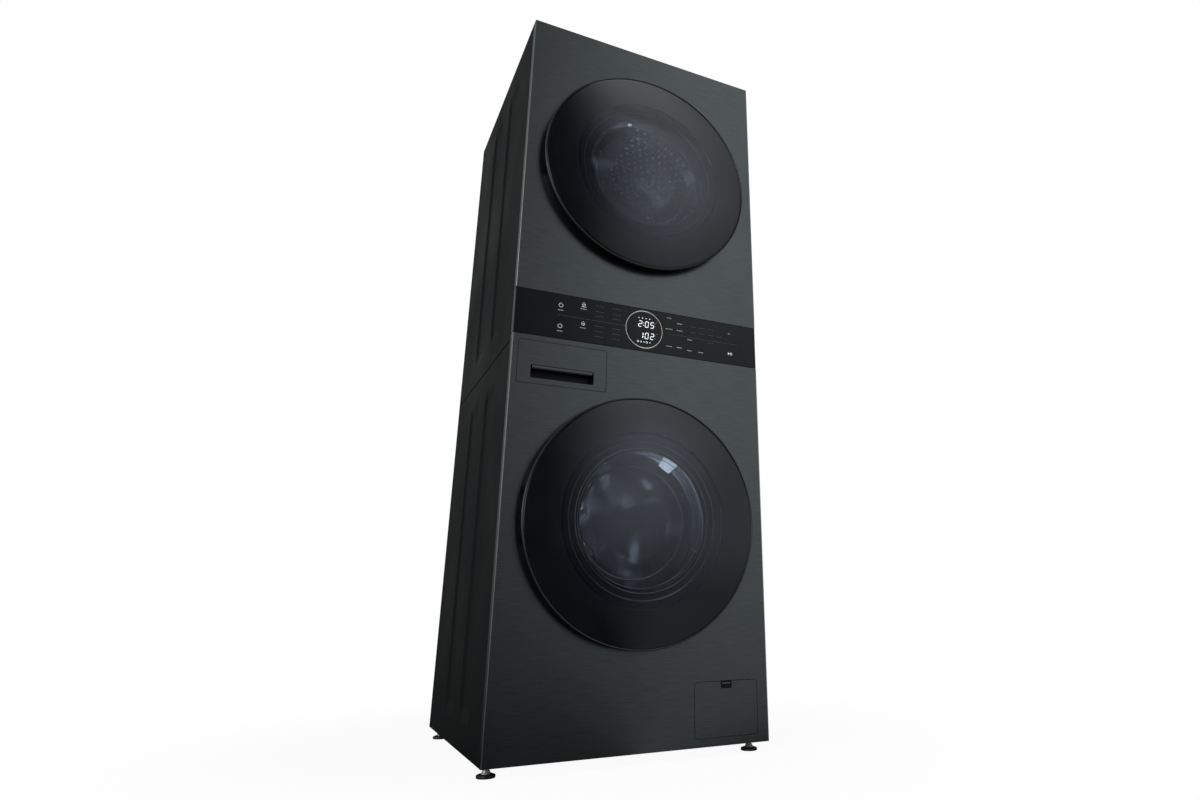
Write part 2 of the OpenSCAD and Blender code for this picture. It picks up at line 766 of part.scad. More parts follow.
// A coil: a ring of points carried along a helix, with closed ends
module coil(height) {
    sides = 6;
    per_turn = 14;
    n = spring_turns * per_turn;
    points = [
        for (i = [0 : n], j = [0 : sides - 1])
            let (a = 360 * i / per_turn, b = 360 * j / sides,
                 r = spring_coil_r + spring_wire_r * cos(b))
            [r * cos(a), r * sin(a), height * i / n + spring_wire_r * sin(b)]
    ];
    skin = [
        for (i = [0 : n - 1], j = [0 : sides - 1])
            let (k = (j + 1) % sides)
            [i * sides + j, i * sides + k, (i + 1) * sides + k, (i + 1) * sides + j]
    ];
    ends = [[for (j = [sides - 1 : -1 : 0]) j], [for (j = [0 : sides - 1]) n * sides + j]];
    mirror([0, 0, 1]) translate([0, 0, -height])
        polyhedron(points, concat(skin, ends), convexity = 10);
}

module tub_springs() {
    low = washer_z + spring_ear_z + 8;
    in_frame() color("silver") for (sx = [-1, 1]) translate([sx * spring_x, spring_y, low]) {
        translate([0, 0, spring_wire_r]) coil(deck_z - low - 2 * spring_wire_r - 16);
        translate([0, 0, 0]) cylinder(r = spring_coil_r + 2, h = 5, $fn = 32);
        translate([0, 0, deck_z - low - 18]) cylinder(r = spring_coil_r + 2, h = 18, $fn = 32);
    }
}

module tub_dampers() {
    top = washer_z - damper_ear_z - 10;
    in_frame() color("dimgray") for (sx = [-1, 1]) translate([sx * damper_x, damper_y, 0]) {
        translate([0, 0, base_h * 0.65]) cylinder(r = 15, h = 0.55 * (top - base_h * 0.65), $fn = 32);
        translate([0, 0, base_h * 0.65]) cylinder(r = 6, h = top - base_h * 0.65, $fn = 32);
    }
}

module washer_drum() {
    in_frame() color("lightgray") turned(washer_z, [
        [drum_mouth_r, drum_y - 6], [drum_mouth_r + 4, drum_y - 6], [drum_mouth_r + 6, drum_y],
        [drum_r, drum_y], [drum_r, drum_end], [0, drum_end], [0, drum_end - drum_t],
        [drum_r - drum_t, drum_end - drum_t], [drum_r - drum_t, drum_y + drum_t],
        [drum_mouth_r + 4, drum_y + drum_t], [drum_mouth_r, drum_y - 3]
    ]);
}

// Three ridges along the inside of a drum
// Three pressed lifters, hollow on the side of the drum wall
module lifters(z, r, y0, y1, height) {
    foot = sqrt(pow(r, 2) - pow(26, 2));
    for (a = [90, 210, 330])
        translate([0, y1, z]) rotate([0, a, 0]) rotate([90, 0, 0]) difference() {
            linear_extrude(y1 - y0)
                polygon([[foot, -26], [foot, 26], [r - height * 0.6, 14], [r - height, 8],
                         [r - height, -8], [r - height * 0.6, -14]]);
            translate([0, 0, lifter_t]) linear_extrude(y1 - y0 - 2 * lifter_t)
                polygon([[foot + 1, -24], [foot + 1, 24], [r - height * 0.6, 14 - lifter_t],
                         [lifter_t + r - height, 8 - lifter_t],
                         [lifter_t + r - height, lifter_t - 8],
                         [r - height * 0.6, lifter_t - 14]]);
        }
}

module washer_lifters() {
    in_frame() color("whitesmoke")
        lifters(washer_z, drum_r - drum_t, drum_y + 30, drum_end - drum_t, lifter_h);
}

module drum_spider() {
    in_frame() color("silver") {
        rod(0, washer_z, drum_end, shaft_end, shaft_r);
        rod(0, washer_z, drum_end, drum_end + spider_t, 48);
        for (a = [90, 210, 330])
            translate([0, 0, washer_z]) rotate([0, a, 0])
                block([20, drum_end, -16], [drum_r - 8, drum_end + spider_t, 16]);
    }
}

module motor_rotor() {
    in_frame() color("gray") difference() {
        turned(washer_z, [
            [shaft_r + running, shaft_end - 9], [rotor_r - 4, shaft_end - 9],
            [rotor_r - 4, tub_end + 16], [rotor_r, tub_end + 16],
            [rotor_r, shaft_end - 5], [28, shaft_end - 5], [28, shaft_end + 4],
            [shaft_r + running, shaft_end + 4]
        ]);
        for (a = [15 : 30 : 345])
            translate([0, 0, washer_z]) rotate([0, a, 0])
                rod(rotor_r * 0.62, 0, shaft_end - 20, shaft_end, 11);
    }
}

module dispenser_housing() {
    x0 = tray_x0 - housing_gap;
    x1 = tray_x1 + housing_gap;
    z0 = tray_z0 - housing_gap;
    z1 = drawer_z1 - 2;
    y1 = tray_y + tray_len + 12;
    in_frame() color([0.5, 0.5, 0.52]) {
        difference() {
            block([x0 - housing_t, fold_d, z0 - housing_t], [x1 + housing_t, y1, z1]);
            block([x0, 0, z0], [x1, y1 - housing_t, z1 - housing_t]);
        }
        // hose stub to the tub
        translate([x1 - 30, y1 - 40, z0 - 22]) cylinder(r = 16, h = 21);
    }
}

module drawer_front() {
    in_frame() color([0.3, 0.31, 0.32]) difference() {
        union() {
            rounded([drawer_x0, 0, drawer_z0], [drawer_x1, 4, drawer_z1], drawer_corner);
            block([drawer_mid_x - pull_w / 2 - 5, 0, pull_z - pull_h / 2 - 5],
                  [drawer_mid_x + pull_w / 2 + 5, pull_d + 3, pull_z + pull_h / 2 + 8]);
            block([tray_x0 + 10, 3, tray_z1 - 20], [tray_x1 - 10, tray_y, tray_z1 - 12]);
        }
        rounded([drawer_mid_x - pull_w / 2, -1, pull_z - pull_h / 2],
                [drawer_mid_x + pull_w / 2, pull_d, pull_z + pull_h / 2], 3);
    }
}

module drawer_tray() {
    inner = tray_x1 - tray_x0 - 4 * tray_t;
    cuts = [0, 0.36, 0.68, 1];
    in_frame() color([0.85, 0.86, 0.88]) difference() {
        block([tray_x0, tray_y, tray_z0], [tray_x1, tray_y + tray_len, tray_z1]);
        for (i = [0 : 2])
            block([tray_x0 + (i + 1) * tray_t + inner * cuts[i], tray_y + tray_t, tray_z0 + tray_t],
                  [tray_x0 + (i + 1) * tray_t + inner * cuts[i + 1],
                   tray_y + tray_len - tray_t, tray_z1 + 1]);
    }
}

// ------------------------------------------------------ pump, water, mains

module pump_flap() {
    in_frame() color([0.3, 0.31, 0.32]) difference() {
        union() {
            rounded([flap_x0, 0, flap_z0], [flap_x1, flap_t, flap_z1], flap_corner);
            // lugs with the hinge pins that clip into the base frame's ears
            for (x = [flap_x0 + 14, flap_x1 - 24])
                translate([x, flap_axis_y, flap_axis_z]) rotate([0, 90, 0])
                    cylinder(r = flap_pin_r, h = 10, $fn = 48);
            for (x = [flap_x0 + 14, flap_x1 - 14 - flap_lug_w])
                block([x, flap_t - join, flap_axis_z - 3.5],
                      [x + flap_lug_w, flap_axis_y + 3, flap_axis_z + 3.5]);
            // latch tongue
            block([pump_x - 8, flap_t - join, flap_z1 - 12], [pump_x + 8, 10, flap_z1 - 8]);
        }
        block([pump_x - notch_w / 2, -1, flap_z1 - 14], [pump_x + notch_w / 2, 2, flap_z1 + 1]);
    }
}

module drain_pump() {
    wall = cap_r + 6;
    in_frame() color([0.45, 0.46, 0.48]) difference() {
        union() {
            block([flap_x0 + 1, pump_plate_y, flap_z0 + 1],
                  [flap_x1 - 1, pump_plate_y + 2, flap_z1 - 1]);
            rod(pump_x, pump_z, pump_plate_y, pump_end - 84, wall);
            rod(pump_x, pump_z, pump_end - 85, pump_end - 20, wall + 6);
            rod(pump_x, pump_z, pump_end - 21, pump_end, 22);
            // stub towards the sump hose
            translate([pump_x - sump_run, 100, pump_z + 12]) rotate([0, 90, 0])
                cylinder(r = 16, h = sump_run);
            // stub towards the drain hose
            rod(drain_x, drain_z, 150, 222, drain_r + 2);
        }
        rod(pump_x, pump_z, 0, 130, cap_r + 1);
    }
}

sump_run = 78;

module pump_filter_cap() {
    in_frame() color([0.2, 0.45, 0.55]) {
        rod(pump_x, pump_z, cap_y + 8, pump_plate_y + 2, cap_r);
        block([pump_x - cap_r * 0.8, cap_y, pump_z - 5], [pump_x + cap_r * 0.8, cap_y + 9, pump_z + 5]);
        tube(pump_x, pump_z, pump_plate_y + 1, 118, cap_r - 3, cap_r - 5.5);
    }
}

module drain_hoses() {
    sump_x = pump_x - sump_run;
    sump_top = washer_z - sqrt(pow(tub_r, 2) - pow(sump_x, 2));
    in_frame() color([0.12, 0.12, 0.12]) {
        // bellows from the lowest part of the tub to the pump
        difference() {
            union() {
                translate([sump_x, 100, pump_z + 12]) cylinder(r = 22, h = sump_top - pump_z - 12);
                for (z = [pump_z + 40 : 14 : sump_top - 20])
                    translate([sump_x, 100, z]) cylinder(r = 26, h = 6);
                translate([sump_x, 100, pump_z + 12]) sphere(r = 22, $fn = 48);
            }
            rod(0, washer_z, 0, 200, tub_r + 0.2);
            translate([sump_x, 100, pump_z + 12]) rotate([0, 90, 0]) cylinder(r = 16.1, h = sump_run);
        }
        // pressure hose to the back, with the spigot for the outer drain hose
        rod(drain_x, drain_z, 222, tower_d - recess_depth - 2, drain_r + 2);
        rod(drain_x, drain_z, tower_d - recess_depth - 3, tower_d - recess_depth, drain_r + 12);
        rod(drain_x, drain_z, tower_d - recess_depth - 1, inlet_y1, drain_r);
    }
}

module drain_recess(y1) {
    rod(drain_x, drain_z, 0, y1, drain_r + 22);
}

module inlet_recess(y1) {
    block([inlet_x - inlet_pitch / 2 - 34, 0, inlet_z - 30],
          [inlet_x + inlet_pitch / 2 + 34, y1, inlet_z + 30]);
}

module inlet_valves() {
    y0 = tower_d - recess_depth;
    in_frame() color("white") difference() {
        union() {
            block([inlet_x - inlet_pitch / 2 - 40, y0 - 3, inlet_z - 36],
                  [inlet_x + inlet_pitch / 2 + 40, y0, inlet_z + 36]);
            for (sx = [-1, 1]) {
                rod(inlet_x + sx * inlet_pitch / 2, inlet_z, y0 - 40, y0 - 2, inlet_r + 4);
                rod(inlet_x + sx * inlet_pitch / 2, inlet_z, y0 - 3, inlet_y1, inlet_r);
                block([inlet_x + sx * inlet_pitch / 2 - 12, y0 - 70, inlet_z - 14],
                      [inlet_x + sx * inlet_pitch / 2 + 12, y0 - 39, inlet_z + 14]);
            }
            block([inlet_x - inlet_pitch / 2, y0 - 60, inlet_z - 8],
                  [inlet_x + inlet_pitch / 2, y0 - 48, inlet_z + 8]);
        }
        for (sx = [-1, 1])
            rod(inlet_x + sx * inlet_pitch / 2, inlet_z, y0 - 20, inlet_y1 + 1, inlet_r - 4);
    }
}

module mains_gland() {
    in_frame() color([0.1, 0.1, 0.1]) difference() {
        union() {
            rod(gland_x, gland_z, tower_d - 22, inlet_y1, gland_r);
            rod(gland_x, gland_z, tower_d, tower_d + 3, gland_r + 4);
        }
        rod(gland_x, gland_z, tower_d - 23, inlet_y1 + 1, gland_bore_r);
    }
}

// ----------------------------------------------------------------- dryer

module dryer_front_bulkhead() {
    in_frame() color([0.3, 0.3, 0.32]) difference() {
        union() {
            tube(0, dryer_z, 0, 4, dryer_hole_r - 0.3, dryer_mouth_r);
            tube(0, dryer_z, 3, plate_y + plate_t, dryer_mouth_r + 4, dryer_mouth_r);
            difference() {
                block([-half_w + 6, plate_y, dryer_z - dry_drum_r - 24],
                      [half_w - 6, plate_y + plate_t, dryer_z + dry_drum_r + 20]);
                rod(0, dryer_z, 0, plate_y + 10, dryer_mouth_r + 1);
            }
            // axles of the drum rollers
            for (sx = [-1, 1])
                rod(sx * roller_d * sin(roller_angle), dryer_z - roller_d * cos(roller_angle),
                    plate_y, roller_y + roller_w + 6, roller_pin_r);
            // pocket of the lint filter, open to the mouth
            block([-filter_w / 2 - 4, filter_y - 4, dryer_z - dryer_mouth_r - filter_h + 6],
                  [filter_w / 2 + 4, plate_y + 1, dryer_z - dryer_mouth_r + 22]);
        }
        rod(0, dryer_z, filter_y - 5, plate_y + 10, dryer_mouth_r);
        block([-filter_w / 2 - 0.5, filter_y - 0.5, dryer_z - dryer_mouth_r - filter_h + 9],
              [filter_w / 2 + 0.5, filter_y + filter_t + 0.5, dryer_z - dryer_mouth_r + 60]);
    }
}

module lint_filter() {
    top = dryer_z - dryer_mouth_r + 12;
    in_frame() color([0.75, 0.77, 0.78]) {
        difference() {
            block([-filter_w / 2, filter_y, top - filter_h], [filter_w / 2, filter_y + filter_t, top]);
            for (sx = [-1, 1])
                block([sx * filter_w / 4 - filter_w / 4 + 8, filter_y - 1, top - filter_h + 10],
                      [sx * filter_w / 4 + filter_w / 4 - 8, filter_y + filter_t + 1, top - 26]);
        }
        // the mesh, and a grip along its top
        block([-filter_w / 2 + 2, filter_y + 4, top - filter_h + 2],
              [filter_w / 2 - 2, filter_y + 5, top - 2]);
        block([-30, filter_y - 4, top - 8], [30, filter_y + 1, top - 3]);
    }
}

module dryer_rear_bulkhead() {
    in_frame() color("gray") difference() {
        union() {
            block([-half_w + 6, rear_plate_y, dryer_z - dry_drum_r - 24],
                  [half_w - 6, rear_plate_y + 2, dryer_z + dry_drum_r + 20]);
            rod(0, dryer_z, rear_plate_y - 12, rear_plate_y + 16, dry_shaft_r + 10);
        }
        rod(0, dryer_z, rear_plate_y - 20, rear_plate_y + 20, dry_shaft_r + running);
        for (a = [0 : 30 : 330])
            translate([0, 0, dryer_z]) rotate([0, a, 0])
                rod(dry_drum_r * 0.68, 0, rear_plate_y - 1, rear_plate_y + 3, 22);
    }
}

module drum_seals() {
    in_frame() color("beige") {
        tube(0, dryer_z, plate_y + plate_t, dry_drum_y - near, dry_drum_mouth_r + 22, dry_drum_mouth_r + 3);
        tube(0, dryer_z, dry_drum_end + near, rear_plate_y, dry_drum_r - 14, dry_drum_r - 30);
    }
}

module dryer_drum() {
    in_frame() color("lightgray") difference() {
        union() {
            turned(dryer_z, [
                [dry_drum_mouth_r, dry_drum_y], [dry_drum_r, dry_drum_y],
                [dry_drum_r, dry_drum_end], [0, dry_drum_end], [0, dry_drum_end - drum_t],
                [dry_drum_r - drum_t, dry_drum_end - drum_t],
                [dry_drum_r - drum_t, dry_drum_y + drum_t], [dry_drum_mouth_r, dry_drum_y + drum_t]
            ]);
            rod(0, dryer_z, dry_drum_end - 1, rear_plate_y + 20, dry_shaft_r);
        }
        // ring of holes that the warm air comes through
        for (a = [0 : 20 : 340])
            translate([0, 0, dryer_z]) rotate([0, a, 0])
                rod(dry_drum_r * 0.68, 0, dry_drum_end - 5, dry_drum_end + 5, 14);
    }
}

module dryer_lifters() {
    in_frame() color("lightgray")
        lifters(dryer_z, dry_drum_r - drum_t, dry_drum_y + 20, dry_drum_end - drum_t, dry_lifter_h);
}

module roller(side) {
    tube(side * roller_d * sin(roller_angle), dryer_z - roller_d * cos(roller_angle),
         roller_y, roller_y + roller_w, roller_r, roller_pin_r + running);
}

module roller_left() { in_frame() color([0.2, 0.2, 0.2]) roller(-1); }
module roller_right() { in_frame() color([0.2, 0.2, 0.2]) roller(1); }

module dryer_motor() {
    in_frame() color("gray") difference() {
        union() {
            rod(motor_x, motor_z, motor_y, motor_y + motor_len, motor_r);
            block([motor_x - motor_r, motor_y + 14, deck_z + deck_t],
                  [motor_x + motor_r, motor_y + motor_len - 14, motor_z - motor_r * 0.6]);
        }
        rod(motor_x, motor_z, motor_y - 1, motor_y + motor_len + 1, motor_pin_r + running);
    }
}

// The motor's shaft with the belt pulley at one end and the fan at the other
module motor_shaft() {
    in_frame() color("lightgray") {
        rod(motor_x, motor_z, fan_y, belt_y + belt_w / 2 + 8, motor_pin_r);
        rod(motor_x, motor_z, belt_y - belt_w / 2 - 2, belt_y + belt_w / 2 + 2, pulley_r);
        rod(motor_x, motor_z, fan_y, fan_y + 3, fan_r);
        tube(motor_x, motor_z, fan_y + fan_len - 3, fan_y + fan_len, fan_r, fan_r - 16);
        for (a = [0 : 20 : 340])
            translate([motor_x, 0, motor_z]) rotate([0, a, 0])
                block([fan_r - 15, fan_y, -1], [fan_r - 1, fan_y + fan_len, 1]);
    }
}

module drive_belt() {
    module loop(extra) {
        hull() {
            circle(r = belt_r + extra, $fn = 96);
            translate([motor_x, dryer_z - motor_z]) circle(r = pulley_r + near + extra, $fn = 32);
        }
    }
    in_frame() color([0.1, 0.1, 0.1])
        translate([0, belt_y - belt_w / 2, dryer_z]) rotate([-90, 0, 0])
            linear_extrude(belt_w) difference() {
                loop(belt_t);
                loop(0);
            }
}

module heat_pump_base() {
    y0 = 60;
    y1 = tower_d - 20;
    in_frame() color([0.25, 0.25, 0.27]) {
        difference() {
            block([sheet_t + rib_depth + 2 - half_w, y0, deck_z],
                  [half_w - sheet_t - rib_depth - 2, y1, deck_z + pan_h]);
            block([sheet_t + rib_depth + 5 - half_w, y0 + 3, deck_z + deck_t],
                  [half_w - sheet_t - rib_depth - 5, y1 - 3, deck_z + pan_h + 1]);
        }
        // walls of the air channel beside the heat exchangers
        block([20, y0 + 1, deck_z + 1], [23, y1 - 40, deck_z + pan_h + 100]);
    }
}

module compressor() {
    in_frame() color([0.12, 0.12, 0.13]) translate([compressor_x, compressor_y, deck_z + deck_t])
        rotate_extrude() polygon([
            [0, 0], [compressor_r, 0], [compressor_r, compressor_h - 30],
            [compressor_r - 8, compressor_h - 12], [compressor_r - 28, compressor_h], [0, compressor_h]
        ]);
}

module heat_exchangers() {
    z0 = deck_z + deck_t;
    in_frame() color([0.72, 0.73, 0.74]) for (y = [core_y - core_gap - core_d, core_y]) {
        for (i = [0 : fin_count])
            translate([core_x0 + i * fin_pitch, y, z0]) cube([1.5, core_d, core_h]);
        for (u = [0.25, 0.5, 0.75], v = [0.2, 0.5, 0.8])
            translate([core_x0 - 8, y + u * core_d, z0 + v * core_h]) rotate([0, 90, 0])
                cylinder(r = 5, h = fin_count * fin_pitch + 20, $fn = 24);
    }
}

// ------------------------------------------------------------------ feet

module foot(sx, y) {
    in_frame() color("silver") translate([sx * (half_w - foot_inset_x), y, -foot_h]) {
        cylinder(r = pad_r, h = pad_t - 2);
        cylinder(r1 = pad_r, r2 = pad_r - 5, h = pad_t);
        cylinder(r = stud_r + 4.5, h = foot_h - 1);
        cylinder(r = stud_r, h = foot_h + base_h - 4);
    }
}

module foot_front_left() { foot(-1, foot_inset_y); }
module foot_front_right() { foot(1, foot_inset_y); }
module foot_rear_left() { foot(-1, tower_d - foot_inset_y); }
module foot_rear_right() { foot(1, tower_d - foot_inset_y); }

base_frame();
lower_cabinet();
upper_cabinet();
top_cover();
lower_rear_cover();
upper_rear_cover();
washer_front_panel();
dryer_front_panel();
control_fascia();
control_board();
hinge_brackets();
door_locks();
door_gasket();
tub_front();
tub_rear();
counterweight();
tub_bearings();
motor_stator();
tub_springs();
tub_dampers();
inlet_valves();
dispenser_housing();
drain_pump();
drain_hoses();
dryer_front_bulkhead();
dryer_rear_bulkhead();
drum_seals();
dryer_motor();
drive_belt();
heat_pump_base();
compressor();
heat_exchangers();
mains_gland();
cabinet_screws();
washer_door_frame();
washer_door_glass();
washer_door_bowl();
washer_hinge_leaf();
dryer_door_frame();
dryer_door_glass();
dryer_door_bowl();
dryer_hinge_leaf();
drawer_front();
drawer_tray();
pump_flap();
pump_filter_cap();
washer_drum();
washer_lifters();
drum_spider();
motor_rotor();
dryer_drum();
dryer_lifters();
roller_left();
roller_right();
motor_shaft();
lint_filter();
foot_front_left();
foot_front_right();
foot_rear_left();
foot_rear_right();
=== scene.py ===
"""Looks of a laundry tower: a washer below and a heat pump dryer above, in
one dark casing.  Everything is in metres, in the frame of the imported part:
x to the right, y to the back, z up, origin on the floor under the middle."""
import json
import math

import bmesh
import bpy
import numpy as np
from mathutils import Matrix, Vector


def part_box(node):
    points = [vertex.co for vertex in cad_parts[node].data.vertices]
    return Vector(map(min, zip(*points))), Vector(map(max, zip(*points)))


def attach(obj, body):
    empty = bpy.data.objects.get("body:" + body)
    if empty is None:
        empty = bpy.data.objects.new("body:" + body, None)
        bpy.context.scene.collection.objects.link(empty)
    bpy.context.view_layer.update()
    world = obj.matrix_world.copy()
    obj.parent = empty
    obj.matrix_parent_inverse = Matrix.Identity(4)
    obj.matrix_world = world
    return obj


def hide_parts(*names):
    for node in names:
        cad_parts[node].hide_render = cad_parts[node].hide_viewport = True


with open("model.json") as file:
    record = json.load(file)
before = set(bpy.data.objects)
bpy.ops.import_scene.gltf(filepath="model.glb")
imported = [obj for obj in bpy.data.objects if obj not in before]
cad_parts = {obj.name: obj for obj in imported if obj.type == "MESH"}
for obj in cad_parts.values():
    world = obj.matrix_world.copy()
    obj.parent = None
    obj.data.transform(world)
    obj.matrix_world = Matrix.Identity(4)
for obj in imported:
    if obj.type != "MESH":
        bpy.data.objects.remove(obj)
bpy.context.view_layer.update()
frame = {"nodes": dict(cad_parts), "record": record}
nodes = frame["nodes"]

# -------------------------------------------- camera
# The tower is seen from close to the floor, in front of its left corner,
# through a wide lens whose picture is taken from beside its middle.
def new_object(name, data):
    """A camera, lamp or mesh as an object of the scene."""
    made = bpy.data.objects.new(name, data)
    bpy.context.scene.collection.objects.link(made)
    return made


eye = Vector((-0.6201, -1.8009, 0.2842))
ahead = Vector((0.4358, 0.8427, 0.3162)).normalized()
across = ahead.cross(Vector((-0.1343, -0.2865, 0.9486))).normalized()
lens = bpy.data.cameras.new("camera")
lens.sensor_width, lens.lens = 36.0, 22.39
lens.shift_x, lens.shift_y = -0.0868, -0.0311
lens.clip_start = 0.01
camera = new_object("camera", lens)
camera.matrix_world = Matrix.Translation(eye) @ Matrix(
    (across, across.cross(ahead), -ahead)).transposed().to_4x4()
bpy.context.scene.camera = camera
bpy.context.scene.view_settings.view_transform = "Standard"


# -------------------------------------------- studio
# A white floor and backdrop.  What the dark steel and the glass mirror is a
# room with a broad soft light on the right, a bright panel far to the left
# and a pale wall behind; two soft lamps give the tower its shading.
WHITE = (1, 1, 1, 1)
FAR = 14.0


def feed(tree, made, feeds):
    """Gives inputs of a node numbers, colours or other nodes' outputs."""
    for label, value in feeds.items():
        if isinstance(value, (int, float, tuple)):
            made.inputs[label].default_value = value
        else:
            tree.links.new(value, made.inputs[label])


def node(tree, kind, feeds=None, **settings):
    """A shader node with its settings, then its inputs."""
    made = tree.nodes.new("ShaderNode" + kind)
    for key, value in settings.items():
        setattr(made, key, value)
    feed(tree, made, feeds or {})
    return made


def maths(tree, operation, a, b=0.0, clamp=False):
    """One arithmetic step of the sockets or numbers a and b."""
    return node(tree, "Math", {0: a, 1: b}, operation=operation, use_clamp=clamp).outputs[0]


def times(tree, product, *factors):
    """The product of all these sockets and numbers."""
    for factor in factors:
        product = maths(tree, "MULTIPLY", product, factor)
    return product


def ramp(tree, value, low, high, out_low=0.0, out_high=1.0, smooth=True):
    """Value between low and high, carried over to out_low and out_high."""
    return node(tree, "MapRange", {0: value, 1: low, 2: high, 3: out_low, 4: out_high},
                interpolation_type="SMOOTHSTEP" if smooth else "LINEAR").outputs[0]


def vector_step(tree, operation, a, b=(0, 0, 0)):
    """One step with whole vectors; LENGTH gives a number."""
    made = node(tree, "VectorMath", {0: a, 1: b}, operation=operation)
    return made.outputs["Value" if operation == "LENGTH" else "Vector"]


def parts_of(tree, vector):
    return node(tree, "SeparateXYZ", {0: vector}).outputs


def own_spot(tree):
    """The place on a piece, in the part's frame."""
    return node(tree, "TexCoord").outputs["Object"]


def bare_material(name):
    """A new material with its nodes and its shader."""
    material = bpy.data.materials.new(name)
    material.use_nodes = True
    return material, material.node_tree, material.node_tree.nodes["Principled BSDF"]


def room_level(tree, way):
    """Brightness of the room in a direction.  It rises with the angle to the
    right of straight ahead and with the height, and falls again further
    out; the panel on the left is dimmer high up."""
    x, y, z = parts_of(tree, way)
    turn = maths(tree, "ARCTAN2", x, times(tree, y, -1.0))
    leaning = maths(tree, "SUBTRACT", turn, times(tree, z, 0.6))
    right = times(tree, ramp(tree, turn, 0.13, 0.52), ramp(tree, leaning, 0.12, 0.50, 1.0, 0.40),
                  ramp(tree, turn, 0.85, 1.25, 1.0, 0.08))
    left = times(tree, ramp(tree, turn, -0.32, -0.75, 0.0, 2.5), ramp(tree, z, -0.15, 0.2),
                 ramp(tree, z, 0.16, 0.60, 1.0, 0.12))
    tall = times(tree, ramp(tree, z, -0.30, 0.08, 0.62, 1.39),
                 ramp(tree, z, 0.42, 0.62, 1.0, 0.78))
    in_front = times(tree, maths(tree, "ADD", right, left), tall, ramp(tree, y, 0.35, -0.05))
    behind = times(tree, ramp(tree, y, 0.45, 0.85), ramp(tree, z, -0.3, 0.6, 0.05, 0.36))
    return maths(tree, "ADD", maths(tree, "MAXIMUM", in_front, behind), 0.01)


world = bpy.data.worlds.new("studio")
bpy.context.scene.world = world
world.use_nodes = True
room = world.node_tree
room.nodes.clear()
level = maths(room, "MAXIMUM", room_level(room, node(room, "TexCoord").outputs["Generated"]),
              node(room, "LightPath").outputs["Is Camera Ray"])
sky = node(room, "Background", {"Color": WHITE, "Strength": level})
node(room, "OutputWorld", {0: sky.outputs[0]})


def mesh_piece(name, corners, faces, smooth=True):
    """An object at the origin from corners in metres and faces."""
    mesh = bpy.data.meshes.new(name)
    mesh.from_pydata(np.asarray(corners, float).reshape(-1, 3).tolist(), [],
                     faces if isinstance(faces, list) else faces.tolist())
    mesh.polygons.foreach_set("use_smooth", [smooth] * len(mesh.polygons))
    return new_object(name, mesh)


floor = mesh_piece("floor", [[-FAR, -FAR, 0], [FAR, -FAR, 0], [FAR, FAR, 0], [-FAR, FAR, 0]],
                   [[0, 1, 2, 3]], smooth=False)
ground, tree, pale = bare_material("white_floor")
feed(tree, pale, {"Base Color": (0.86, 0.86, 0.86, 1), "Roughness": 0.7,
                  "Specular IOR Level": 0.1})
rays = node(tree, "LightPath").outputs
from_tower = vector_step(tree, "SUBTRACT", own_spot(tree), (0.0, -0.3, 0.4))
level = room_level(tree, vector_step(tree, "NORMALIZE", from_tower))
glow = node(tree, "Emission", {
    "Color": WHITE, "Strength": maths(tree, "MAXIMUM", level, rays["Is Camera Ray"])})
clear_white = ramp(tree, vector_step(tree, "LENGTH", own_spot(tree)), 0.4, 1.4, 0.95, 1.0)
share = maths(tree, "MAXIMUM", times(tree, rays["Is Camera Ray"], clear_white),
              maths(tree, "MAXIMUM", rays["Is Glossy Ray"], rays["Is Transmission Ray"]))
mix = node(tree, "MixShader", {0: share, 1: pale.outputs[0], 2: glow.outputs[0]})
feed(tree, tree.nodes["Material Output"], {0: mix.outputs[0]})
floor.data.materials.append(ground)


def lamp(name, kind, at, towards, power, size, glossy=False, colour=(1, 1, 1)):
    """A round soft lamp, which mirrors itself in the object when glossy."""
    light = bpy.data.lights.new(name, kind)
    light.energy, light.color = power, colour
    if kind == "AREA":
        light.shape, light.size = "DISK", size
    else:
        light.shadow_soft_size = size
    holder = new_object(name, light)
    aim = (Vector(towards) - Vector(at)).to_track_quat("-Z", "Y")
    holder.matrix_world = Matrix.Translation(at) @ aim.to_matrix().to_4x4()
    holder.visible_glossy = glossy
    holder.visible_transmission = holder.visible_camera = False


TOWER_MIDDLE = (0.0, 0.0, 0.9)
lamp("key_light", "AREA", (2.3, -2.6, 3.0), TOWER_MIDDLE, 95.0, 2.2)
lamp("fill_light", "AREA", (-3.2, -1.6, 2.4), TOWER_MIDDLE, 26.0, 2.4)


# ---------------------------------------- side walls
# Each casing is one bent steel sheet with a charcoal coating.  Two broad
# ribs are pressed into either side to stop it from drumming; the back of
# the sheet is open behind the covers.
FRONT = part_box("washer_front_panel")[0].y
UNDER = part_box("washer_front_panel")[0].z
HALF_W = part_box("top_cover")[1].x


def placed(x, depth, height):
    """Metres in the part's frame, from millimetres right of the middle,
    behind the front face and above the underside of the casing."""
    x, depth, height = np.broadcast_arrays(*(np.asarray(v, float) for v in (x, depth, height)))
    return np.stack([x / 1000, FRONT + depth / 1000, UNDER + height / 1000], -1)


def grid_faces(rows, columns, ring_rows=False, ring_columns=False):
    """Four-sided faces of a grid of points, which may close on itself."""
    i, j = np.meshgrid(np.arange(rows if ring_rows else rows - 1),
                       np.arange(columns if ring_columns else columns - 1), indexing="ij")
    i2, j2 = (i + 1) % rows, (j + 1) % columns
    return np.stack([i * columns + j, i2 * columns + j, i2 * columns + j2, i * columns + j2],
                    -1).reshape(-1, 4)


def reworked(mesh, change):
    """Lets change alter the mesh in edit form, then turns its faces outwards."""
    work = bmesh.new()
    work.from_mesh(mesh)
    change(work)
    bmesh.ops.recalc_face_normals(work, faces=work.faces)
    work.to_mesh(mesh)
    work.free()


